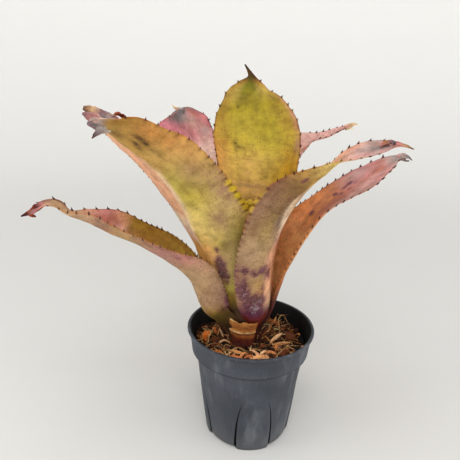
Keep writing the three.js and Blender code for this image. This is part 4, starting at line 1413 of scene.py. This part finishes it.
cutters = []
for tongue in range(TONGUES):
    for hand in (-1, 1):
        middle = TONGUE_AZIMUTH + 360 / TONGUES * tongue
        cutters.append(slit_cutter(lambda z, m=middle, h=hand: m + h * float(tongue_edge(z))))
for hole in range(DRAIN_HOLES):
    turn = math.radians(360 / DRAIN_HOLES * (hole + 0.5))
    place = (DRAIN_RING * math.cos(turn), DRAIN_RING * math.sin(turn), 0)
    cutters.append(primitive(bpy.ops.mesh.primitive_cylinder_add, vertices=24, radius=DRAIN_RADIUS,
                             depth=DRAIN_CUT, location=place))
print("cutters:", len(cutters))
cutter = joined(*cutters)
modifier(pot, "BOOLEAN", operation="DIFFERENCE", solver="EXACT", object=cutter)
bpy.data.objects.remove(cutter)

# %% [markdown]
# ## Scuffed plastic
# The plastic is satin black, but reads as blue-grey where it is rubbed, scratched and dusty. A band of
# painted shade darkens it under the collar, and the inside is painted near black, partly its own unworn
# black and partly painted shade. The inside can't be told by its place alone, because the wall is thin, so
# each point stores how far in it lies, and the shader reads that.

# %% Pot plastic
points = coordinates(pot) / MM
depth = outer_radius(points[:, 2]) - np.hypot(points[:, 0], points[:, 1])
# How far in each point lies; the shader paints the inside near black, partly the plastic's own black and
# partly painted shade.
store_colours(pot, "inside", np.repeat(ramp(depth, 0.3, 1.1)[:, None], 3, axis=1))
SMOOTH_BELOW = math.radians(32)


def scuffed_plastic():
    """Moulded plastic, rubbed and scratched upwards, with dust at its foot and painted shade under the
    collar.
    """
    finish = Finish("scuffed_plastic", Specular_IOR_Level=0.28)
    here = finish.here()
    within = finish.split(finish.painted("inside"))
    cloudy = finish.noise(here, 22, 5)
    rubbed = finish.noise(here, 70, 4, (1, 1, 0.35))
    grain = finish.noise(here, 1600, 2)
    scratch = finish.noise(here, 160, 3, (1, 1, 0.06))
    height = finish.node("SeparateXYZ", {}, {"Vector": here}).out("Z")
    dusty = height.step(0.03, 0.0) * 0.35
    colour = finish.mix(cloudy.step(0.35, 0.7), "363A42", "464A52")
    colour = finish.mix(rubbed.step(0.48, 0.75) * 0.45, colour, "74787E")
    colour = finish.mix(scratch.step(0.58, 0.72) * cloudy * 0.32, colour, "82868C")
    colour = finish.mix(finish.spots(here, 500, 0.22, 0.06) * 0.5, colour, "8E8E90")
    colour = finish.mix(dusty, colour, "6A6866")
    # Painted shade: a dark band just under the collar's overhang.
    collar_shade = height.step(0.0915, 0.0955) * (1 - height.step(0.0965, 0.0985))
    colour = finish.mix(collar_shade * 0.75, colour, "15161A")
    # The inside: near black, partly the plastic's own unworn black and partly painted shade.
    colour = finish.mix(within, colour, "010102")
    roughness = 0.46 + 0.2 * cloudy + 0.15 * rubbed
    bump = grain * 0.25 + cloudy * 1.2 + scratch * 0.3
    return finish.finish(colour, roughness, bump, 0.0004, 0.35)


pot.data.materials.clear()
pot.data.materials.append(scuffed_plastic())
keep(pot, "nursery_pot", "pot_plastic", "pot")
choose(pot)
bpy.ops.object.shade_smooth_by_angle(angle=SMOOTH_BELOW)

# %% [markdown]
# ## The husk bed
# Under the loose chips lies a dark, lumpy bed of fine husk, whose near-black browns are partly its own and
# partly painted shade in the gaps between chips. It could be chips all the way down, but none of them would
# be seen. One spun solid with a roughened top fills the pot down to the floor, because its lower part shows
# through the slits and the drain holes.

# %% Bed
STEM_PLACE = np.array([-6, -6])
STEM_CLEARANCE = 14
MIX_TOP = ([0, 20, 40, 58.2], [105, 105, 103, 100.5])
BED_RADIUS = 57.6
BED_STEPS = 160


def mix_height(x, y):
    """The height of the mix at a place, in mm."""
    return np.interp(np.hypot(x, y), *MIX_TOP)


bed_section = [(0, 2.5), (40, 2.5), (40.6, 3), (53.6, 95), (56.6, 98.6), (BED_RADIUS, 99.6)]
bed_section += [(r, float(mix_height(r, 0))) for r in np.linspace(BED_RADIUS, 0, 46)]
bed = spun([(r * MM, z * MM) for r, z in bed_section], BED_STEPS)
points = coordinates(bed) / MM
surface = (points[:, 2] > 99) & (np.hypot(points[:, 0], points[:, 1]) < BED_RADIUS + 0.2)
lumps = 2.2 * cloud(points, 9, 61) + 1.0 * cloud(points, 3, 62)
points[:, 2] += np.where(surface, lumps - 0.6, 0)
move(bed, points * MM)


def husk(name, dark, mid, pale, tinted):
    """Fibrous brown husk. Where the piece is tinted, its own tint leads and its fibres run along it."""
    finish = Finish(name, Specular_IOR_Level=0.25)
    here = finish.here()
    run = finish.painted("run", "Vector") if tinted else here
    scale, stretch = (1, (0.12, 1.4, 1.4)) if tinted else (300, (1, 1, 1))
    fibre = finish.noise(run, scale, 4, stretch)
    lump = finish.noise(here, 160, 3)
    colour = finish.mix(lump.step(0.35, 0.7), dark, mid)
    if tinted:
        tint = finish.painted("tint")
        colour = finish.mix(0.9, colour, tint)
    colour = finish.mix((1 - fibre.step(0.32, 0.5)) * 0.55, colour, dark)
    colour = finish.mix(fibre.step(0.6, 0.78) * 0.4, colour, pale)
    return finish.finish(colour, 0.75 + 0.2 * lump, fibre + lump, 0.0008, 0.8)


# The bed's near-black browns: partly the husk's own, partly painted shade between the chips.
bed.data.materials.append(husk("husk_bed", "030201", "0E0703", "2A170A", tinted=False))
smooth(bed)
keep(bed, "husk_bed", "husk_mix", "potting_mix")

# %% [markdown]
# ## Chips, curls and slivers
# Coconut husk is chopped into blocks, peelings and splinters. A scattered particle system would be quick,
# but each kind has its own lean, tint and lift here, and the pieces stay plain meshes. One of each kind is
# modelled and roughened in a few variants, and copies of it are strewn on the bed. Two dozen larger ones
# are then laid one by one.


# %% Chip shapes
def cube(**cuts):
    """A cube one wide, cut finer."""
    piece = primitive(bpy.ops.mesh.primitive_cube_add, size=1)
    edit((bpy.ops.mesh.subdivide, cuts))
    return piece, coordinates(piece)


def chunk():
    """A chopped block with torn ends."""
    piece, points = cube(number_cuts=2, fractal=0.5, seed=chance.randrange(999))
    points += 0.22 * clouds(points * UNIT_TO_CLOUD, 20, [chance.random() * 9 for _ in "xyz"])
    points[:, 1:] *= 1 - 0.5 * np.abs(points[:, :1]) ** 1.5
    move(piece, points)
    return piece


def peeling():
    """A thin strip that has curled as it dried."""
    piece, points = cube(number_cuts=3)
    bend = chance.uniform(0.8, 2.2)
    turn = points[:, 0] * bend
    ragged = 0.3 * cloud(points * UNIT_TO_CLOUD, 9, chance.random() * 9)
    radius = 1 / bend + points[:, 2] * 0.12
    curled = [radius * np.sin(turn), points[:, 1] * (0.5 + ragged), radius * np.cos(turn) - 1 / bend]
    move(piece, np.stack(curled, axis=1))
    return piece


def sliver():
    """A long splinter, pointed at both ends."""
    piece, points = cube(number_cuts=2)
    points[:, 1:] *= np.clip(1.15 - 2 * np.abs(points[:, :1]), 0.15, 1)
    points[:, 2] += 0.5 * points[:, 0] ** 2
    move(piece, points)
    return piece


# %% Strewing
CHIP_REACH = 56
CHIP_LIMIT = 57.5
# Tints of blocks, of the paler peelings and of the splinters
BROWNS = ["6A3418", "82421E", "9A4E22", "4A2612", "5E3016", "2E170B", "A85A28", "3A1C0E"]
TANS = ["C0763E", "E09A5C", "F0BC88", "8A4A22", "C88850", "5A2E16", "B06030", "E8A868"]
STRAWS = ["7A4420", "A8662E", "D8A468", "4A2612", "2A150A", "C08048", "8E4A20", "E4BC88"]


def strewn(count, size, lift, tilt):
    """Places for chips, clear of the stem and the wall, as 4 by 4 matrices that hold their sizes."""
    places = []
    while len(places) < count:
        x, y = chance.uniform(-CHIP_REACH, CHIP_REACH), chance.uniform(-CHIP_REACH, CHIP_REACH)
        if math.hypot(x, y) > CHIP_REACH or math.dist((x, y), STEM_PLACE) < STEM_CLEARANCE:
            continue
        extent = [chance.uniform(low, high) for low, high in size]
        near_wall = max(0, math.hypot(x, y) + extent[0] / 2 - CHIP_LIMIT)
        x, y = x * (1 - near_wall / CHIP_REACH), y * (1 - near_wall / CHIP_REACH)
        height = float(mix_height(x, y)) + chance.uniform(*lift)
        turn = Matrix.Rotation(chance.uniform(0, 2 * math.pi), 4, "Z")
        lean = Matrix.Rotation(math.radians(chance.gauss(0, tilt)), 4, "Y")
        roll = Matrix.Rotation(math.radians(chance.gauss(0, tilt)), 4, "X")
        grow = Matrix.Diagonal((*[length * MM for length in extent], 1))
        places.append(Matrix.Translation(Vector((x, y, height)) * MM) @ turn @ lean @ roll @ grow)
    return places


def husk_pieces(template, places, tints):
    """Copies of a chip, each with a tint and with fibres that run along it."""
    local = coordinates(template)
    piece = copies(template, places, tints)
    runs = []
    for place in places:
        length = np.linalg.norm(np.array(place)[:3, :3], axis=0) / MM
        runs.append(local * length + [chance.uniform(0, 500) for _ in "xyz"])
    layer = piece.data.attributes.new("run", "FLOAT_VECTOR", "POINT")
    layer.data.foreach_set("vector", np.concatenate(runs).ravel())
    return piece


def tints_for(count, names):
    """A tint for each copy, some lighter and some darker."""
    return [[c * chance.uniform(0.75, 1.2) for c in pigment(chance.choice(names))] for _ in range(count)]


husk_skin = husk("husk_chips", "1A0B05", "5A2E16", "D8A468", tinted=True)

# %% Strewn husk
# Shape, number, tints, then sizes, lift and lean, in mm and degrees
STREWN = {
    "husk_blocks": (chunk, 44, BROWNS, [(3.5, 8), (2.5, 4.5), (1.5, 3)], (-0.5, 1.4), 20),
    "husk_peelings": (peeling, 64, TANS, [(5, 11), (2, 4.5), (5, 12)], (-0.5, 2.2), 28),
    "husk_slivers": (sliver, 220, STRAWS, [(6, 16), (0.6, 1.5), (0.5, 1.2)], (0.3, 3), 16),
}
VARIANTS = 4
for name, (shape, count, tints, size, lift, tilt) in STREWN.items():
    parts = []
    for _ in range(VARIANTS):
        number = count // VARIANTS
        parts.append(husk_pieces(shape(), strewn(number, size, lift, tilt), tints_for(number, tints)))
    piece = joined(*parts)
    piece.data.materials.append(husk_skin)
    keep(piece, name, "husk_chip")

# %% Large chips
# Shape, then x, y, length, width and height in mm, heading in degrees, tint. The first eight are the packed
# model's
LARGE_CHIPS = [
    (peeling, -33, -29, 13, 6, 16, 20, "D87C38"), (peeling, -14, -40, 17, 8, 18, -35, "C87440"),
    (peeling, 8, -38, 19, 8, 20, 12, "E8A870"), (chunk, 33, -26, 14, 8, 4, 55, "6A3418"),
    (chunk, 42, 4, 14, 8, 4, 100, "5E3016"), (peeling, 26, 33, 17, 9, 18, 150, "9A5A2C"),
    (peeling, -24, 34, 16, 9, 16, 30, "B4703C"), (peeling, -43, 6, 14, 7, 14, 80, "F08838"),
    (peeling, 2, -29, 12, 4, 16, -30, "F0BC8C"), (peeling, -7, -33, 11, 5, 14, 35, "DC9058"),
    (peeling, 12, -30, 13, 4, 16, 50, "F0C090"), (peeling, 19, -29, 12, 5, 14, -15, "D89058"),
    (peeling, 6, -34, 11, 4, 15, 80, "E8A878"), (peeling, -1, -37, 12, 4, 14, 5, "C87848"),
    (peeling, -27, -11, 12, 5, 12, 10, "F0BC88"), (chunk, -46, 4, 9, 6, 7, 70, "F08030"),
    (peeling, -38, 13, 13, 5, 14, 110, "D07434"), (sliver, -30, 3, 17, 1.6, 3, 105, "F4C490"),
    (sliver, -33, 6, 16, 1.6, 3, 80, "E09858"), (sliver, 27, -3, 22, 1.7, 4, 50, "F4C490"),
    (sliver, 24, -7, 20, 1.5, 4, 62, "E8B078"), (sliver, 31, -14, 20, 1.4, 4, 15, "E0A068"),
    (sliver, -14, -31, 18, 1.6, 3, -20, "E8A868"), (peeling, 26, -17, 11, 4, 12, 70, "C87C40"),
]
CAD_CHIPS = 8
# The large chips' tints are brightened by a quarter: painted light.
CHIP_PAINTED_LIGHT = 1.25
parts = []
for shape, x, y, *size, heading, tint in LARGE_CHIPS:
    lean = Matrix.Rotation(math.radians(chance.gauss(0, 9)), 4, "X")
    turn = Matrix.Rotation(math.radians(heading), 4, "Z") @ lean
    lift = 2 if shape is chunk else 4
    place = Matrix.Translation(Vector((x, y, float(mix_height(x, y)) + lift)) * MM)
    grow = Matrix.Diagonal((*[length * MM for length in size], 1))
    lit = [CHIP_PAINTED_LIGHT * c for c in pigment(tint)]
    parts.append(husk_pieces(shape(), [place @ turn @ grow], [lit]))
large_chips = joined(*parts)
large_chips.data.materials.append(husk_skin)
keep(large_chips, "large_chips", "husk_chip", *[f"husk_chip_{i + 1}" for i in range(CAD_CHIPS)])

# %% [markdown]
# ## Straws, fibres and dead roots
# Loose fibres lie on the husk and spring up along the pot's wall. Hair curves would be left out of the
# exported model, so each is a curve with a round section, along a path that wanders like a root, and is
# turned into a mesh when it is in place.


# %% Strands
def strands(name, paths):
    """Round strands along paths of (points in mm, radius in mm), as one mesh."""
    curve = bpy.data.curves.new(name, "CURVE")
    curve.dimensions = "3D"
    curve.bevel_depth = MM
    curve.bevel_resolution = 1
    for points, radius in paths:
        spline = curve.splines.new("POLY")
        spline.points.add(len(points) - 1)
        taper = np.interp(np.linspace(0, 1, len(points)), [0, 0.15, 0.7, 1], [0.7, 1, 0.85, 0.3])
        for point, place, share in zip(spline.points, points, taper):
            point.co = (*(np.array(place) * MM), 1)
            point.radius = radius * share
    choose(new_object(name, curve))
    bpy.ops.object.convert(target="MESH")
    smooth(bpy.context.object)
    return bpy.context.object


FIBRE_REACH = 55
FIBRE_LIMIT = 56.5
FIBRE_STEPS = 12


def fibre_path(length, height, curl):
    """A strand that rises from the bed and comes down again, staying inside the pot's wall."""
    while True:
        x, y = chance.uniform(-FIBRE_REACH, FIBRE_REACH), chance.uniform(-FIBRE_REACH, FIBRE_REACH)
        if STEM_CLEARANCE < math.dist((x, y), STEM_PLACE) and math.hypot(x, y) < FIBRE_REACH:
            break
    heading = chance.uniform(0, 2 * math.pi)
    bend = chance.gauss(0, curl)
    top = chance.uniform(*height)
    points = []
    for i in range(FIBRE_STEPS + 1):
        bed_z = float(mix_height(x, y)) + 0.6
        points.append((x, y, bed_z + top * math.sin(math.pi * i / FIBRE_STEPS) + chance.gauss(0, 0.15)))
        heading += bend / FIBRE_STEPS + chance.gauss(0, 0.12)
        x += length / FIBRE_STEPS * math.cos(heading)
        y += length / FIBRE_STEPS * math.sin(heading)
        limit = FIBRE_LIMIT / max(FIBRE_LIMIT, math.hypot(x, y))
        x, y = x * limit, y * limit
        from_stem = np.array([x, y]) - STEM_PLACE
        if np.linalg.norm(from_stem) < STEM_CLEARANCE:
            x, y = STEM_PLACE + from_stem * STEM_CLEARANCE / np.linalg.norm(from_stem)
    return points


def dry_stalk(name, dark, mid, pale):
    """Dry, patchy stalks."""
    finish = Finish(name, Specular_IOR_Level=0.3)
    here = finish.here()
    patch = finish.noise(here, 90, 3)
    grain = finish.noise(here, 900, 3)
    colour = finish.mix(patch.step(0.35, 0.65), mid, pale)
    colour = finish.mix((1 - grain.step(0.3, 0.55)) * 0.6, colour, dark)
    return finish.finish(colour, 0.65 + 0.2 * grain, grain, 0.0002, 0.5)


# %% Loose strands
# Number, radius, length, rise and curl, in mm and radians, then dark, middle and pale tints
STRANDS = {
    "straws": (34, 0.36, (10, 26), (0.5, 4), 1.6, ("7A4E28", "C89660", "ECCB98")),
    "husk_fibres": (110, 0.2, (14, 40), (0.5, 7), 2.4, ("1E0E06", "5E3418", "96602E")),
    "dark_hairs": (130, 0.13, (12, 36), (0.5, 10), 2.8, ("120804", "3A2012", "6A4024")),
}
for name, (count, radius, length, height, curl, colours) in STRANDS.items():
    paths = []
    for _ in range(count):
        path = fibre_path(chance.uniform(*length), height, curl)
        paths.append((path, radius * chance.uniform(0.7, 1.3)))
    piece = strands(name, paths)
    piece.data.materials.append(dry_stalk(name, *colours))
    keep(piece, name, "straw")

# %% Dead roots
# x, y and height above the bed, in mm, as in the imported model
ROOT_RADIUS = 0.48
ROOTLETS = 4
ROOTLET_RADIUS = 0.2
DEAD_ROOTS = [
    [(22, -37, 0), (30, -32, 8), (40, -24, 9), (49, -12, 0)],
    [(-46, -18, 0), (-41, -6, 9), (-36, 8, 11), (-39, 22, 0)],
    [(33, 14, 0), (31, 22, 10), (37, 30, 13), (46, 28, 0)],
]
root_skin = dry_stalk("root_straw", "5A3A1E", "A8783F", "D8B27A")
for number, stations in enumerate(DEAD_ROOTS, 1):
    rows = np.array([(x, y, float(mix_height(x, y)) + 1 + z) for x, y, z in stations])
    line = through(rows, np.linspace(0, 1, 30))
    wobble = np.array([[chance.gauss(0, 0.25) for _ in "xyz"] for _ in line])
    paths = [(line + wobble, ROOT_RADIUS)]
    for _ in range(ROOTLETS):
        start = line[chance.randrange(6, 24)]
        way = np.array([chance.gauss(0, 1), chance.gauss(0, 1), chance.uniform(-0.4, 0.5)])
        way = way / np.linalg.norm(way) * chance.uniform(6, 12)
        side = np.array([chance.gauss(0, 1.6) for _ in "xyz"])
        rootlet = [start + way * f + side * math.sin(4 * f) for f in np.linspace(0, 1, 12)]
        paths.append((rootlet, ROOTLET_RADIUS))
    piece = strands(f"root_{number}", paths)
    piece.data.materials.append(root_skin)
    keep(piece, f"root_{number}", "straw", f"dead_root_{number}")

# %% [markdown]
# ## Stem
# The short stem is ringed with the scars of fallen leaves. It is spun from a profile whose radius swells
# and shrinks a little with height, then made uneven, because real rings are never quite round.

# %% Stem
STEM_PROFILE = [(12, 94), (13, 112), (13, 132), (11.5, 139), (10.2, 146), (8.6, 152), (6, 158), (4, 164)]
SCAR_DEPTH = 0.35
SCARS_PER_MM = 1.9
radii, heights = zip(*STEM_PROFILE)
ringed = [(float(np.interp(z, heights, radii)) - 0.3 + SCAR_DEPTH * math.sin(z * SCARS_PER_MM), z)
          for z in np.linspace(heights[0], heights[-1], 60)]
stem = spun([(0, heights[0]), *ringed, (0, heights[-1])], 72)
points = coordinates(stem)
points[:, :2] *= (1 + 0.04 * cloud(points, 7, 33))[:, None]
points[:, :2] += STEM_PLACE
move(stem, points * MM)


def stem_bark():
    finish = Finish("stem_bark", Specular_IOR_Level=0.35)
    here = finish.here()
    ring = finish.noise(here, 130, 4, (0.4, 0.4, 3))
    lump = finish.noise(here, 220, 3)
    colour = finish.mix(ring.step(0.35, 0.65), "240804", "7A260A")
    colour = finish.mix(lump.step(0.55, 0.75) * 0.6, colour, "A8602C")
    return finish.finish(colour, 0.55 + 0.3 * lump, ring + lump, 0.001, 0.8)


stem.data.materials.append(stem_bark())
smooth(stem)
keep(stem, "scarred_stem", "stem_bark", "stem")

# %% [markdown]
# ## Papery feet
# Dead leaves break off above their feet, and the feet stay as torn, brown sheets that hug the stem. They
# are made as the leaves are, from stations and a flat grid, with a rim that noise has torn and a crease
# across the middle, with a pale painted highlight along it and a rust band of painted glow below it.

# %% Papery finish
def papery():
    """Dry, veined paper over the foot's paint."""
    finish = Finish("papery", Specular_IOR_Level=0.25)
    here = finish.here()
    blade_map = finish.blade_map()
    paint = finish.painted("inner_skin")
    vein = finish.noise(blade_map, 1.0, 4, (0.08, 1.6, 1))
    blotch = finish.noise(here, 200, 4)
    colour = finish.mix((1 - vein.step(0.3, 0.55)) * 0.5, paint, "8A5030", "MULTIPLY")
    colour = finish.mix(vein.step(0.58, 0.75) * 0.25, colour, "E2B47C")
    colour = finish.mix((1 - blotch.step(0.3, 0.5)) * 0.35, colour, "4A200C")
    return finish.finish(colour, 0.7 + 0.2 * blotch, vein + blotch, 0.0009, 0.8)


# %% Papery feet
# Azimuth, then stations: distance from the stem's middle, height and half width, in mm
PAPERY = {
    "dry_leaf_foot_front": (
        258, [(15.4, 108, 11), (16.6, 117, 12), (18.4, 125, 13.5), (21, 132, 15.5), (24, 140, 16.5)],
    ),
    "dry_leaf_foot_right": (345, [(15.2, 108, 5), (20, 117, 6.5), (27, 128, 6.5), (32, 139, 4.5)]),
    "dry_leaf_foot_back": (120, [(15.2, 112, 12), (17, 121, 15), (20, 131, 12)]),
}
# The paper stop at the crease is a painted highlight along the fold, and the rust band below it a painted
# glow of light through the sheet.
FOOT_SKIN = {
    "inner": [
        (0, "maroon"), (0.25, "chestnut"), (0.4, "rust"), (0.48, "chestnut"), (0.52, "paper"),
        (0.56, "kraft"), (0.72, "rust"), (0.9, "kraft"), (0.96, "kraft"), (1, "paper"),
    ],
    "outer": [(0, "umber"), (1, "umber")],
}
FOOT_CELLS = 60
FOOT_THICKNESS = 1.1
STEM_HUG = 0.75
TEAR_DEPTH = 0.06
CREASE = 0.52
paper_skin = papery()
for name, (azimuth, stations) in PAPERY.items():
    facing = math.radians(azimuth)
    rows = []
    for out, z, half in stations:
        curl = STEM_HUG * math.degrees(half / out)
        place = STEM_PLACE + out * np.array([math.cos(facing), math.sin(facing)])
        rows.append([*place, z, half, half, 0, curl, curl])
    blade = Blade(azimuth, rows)
    piece, s, q = flat_grid(blade, FOOT_CELLS)
    none = q * 0
    torn = cloud(np.c_[q * blade.half(s, q), none, none], 7, 71) + 0.9 * q
    torn += 0.15 * cloud(np.c_[q * 20, none, none], 1.5, 72)
    s = s * (1 - TEAR_DEPTH * np.clip(0.6 + torn, 0, 1.4) * s**2)
    points, _, outward, inward = blade.at(s, q)
    points += inward * (0.8 * cloud(points, 5, 72) - 0.8 * near(s - CREASE, 0.04))[:, None]
    move(piece, points * MM)
    piece = fleshed(piece, blade, s, q, FOOT_THICKNESS, points, FOOT_SKIN)
    piece.data.materials.clear()
    piece.data.materials.append(paper_skin)
    for face in piece.data.polygons:
        face.material_index = 0
    smooth(piece)
    keep(piece, name.replace("dry_leaf", "papery"), "dry_leaf", name)
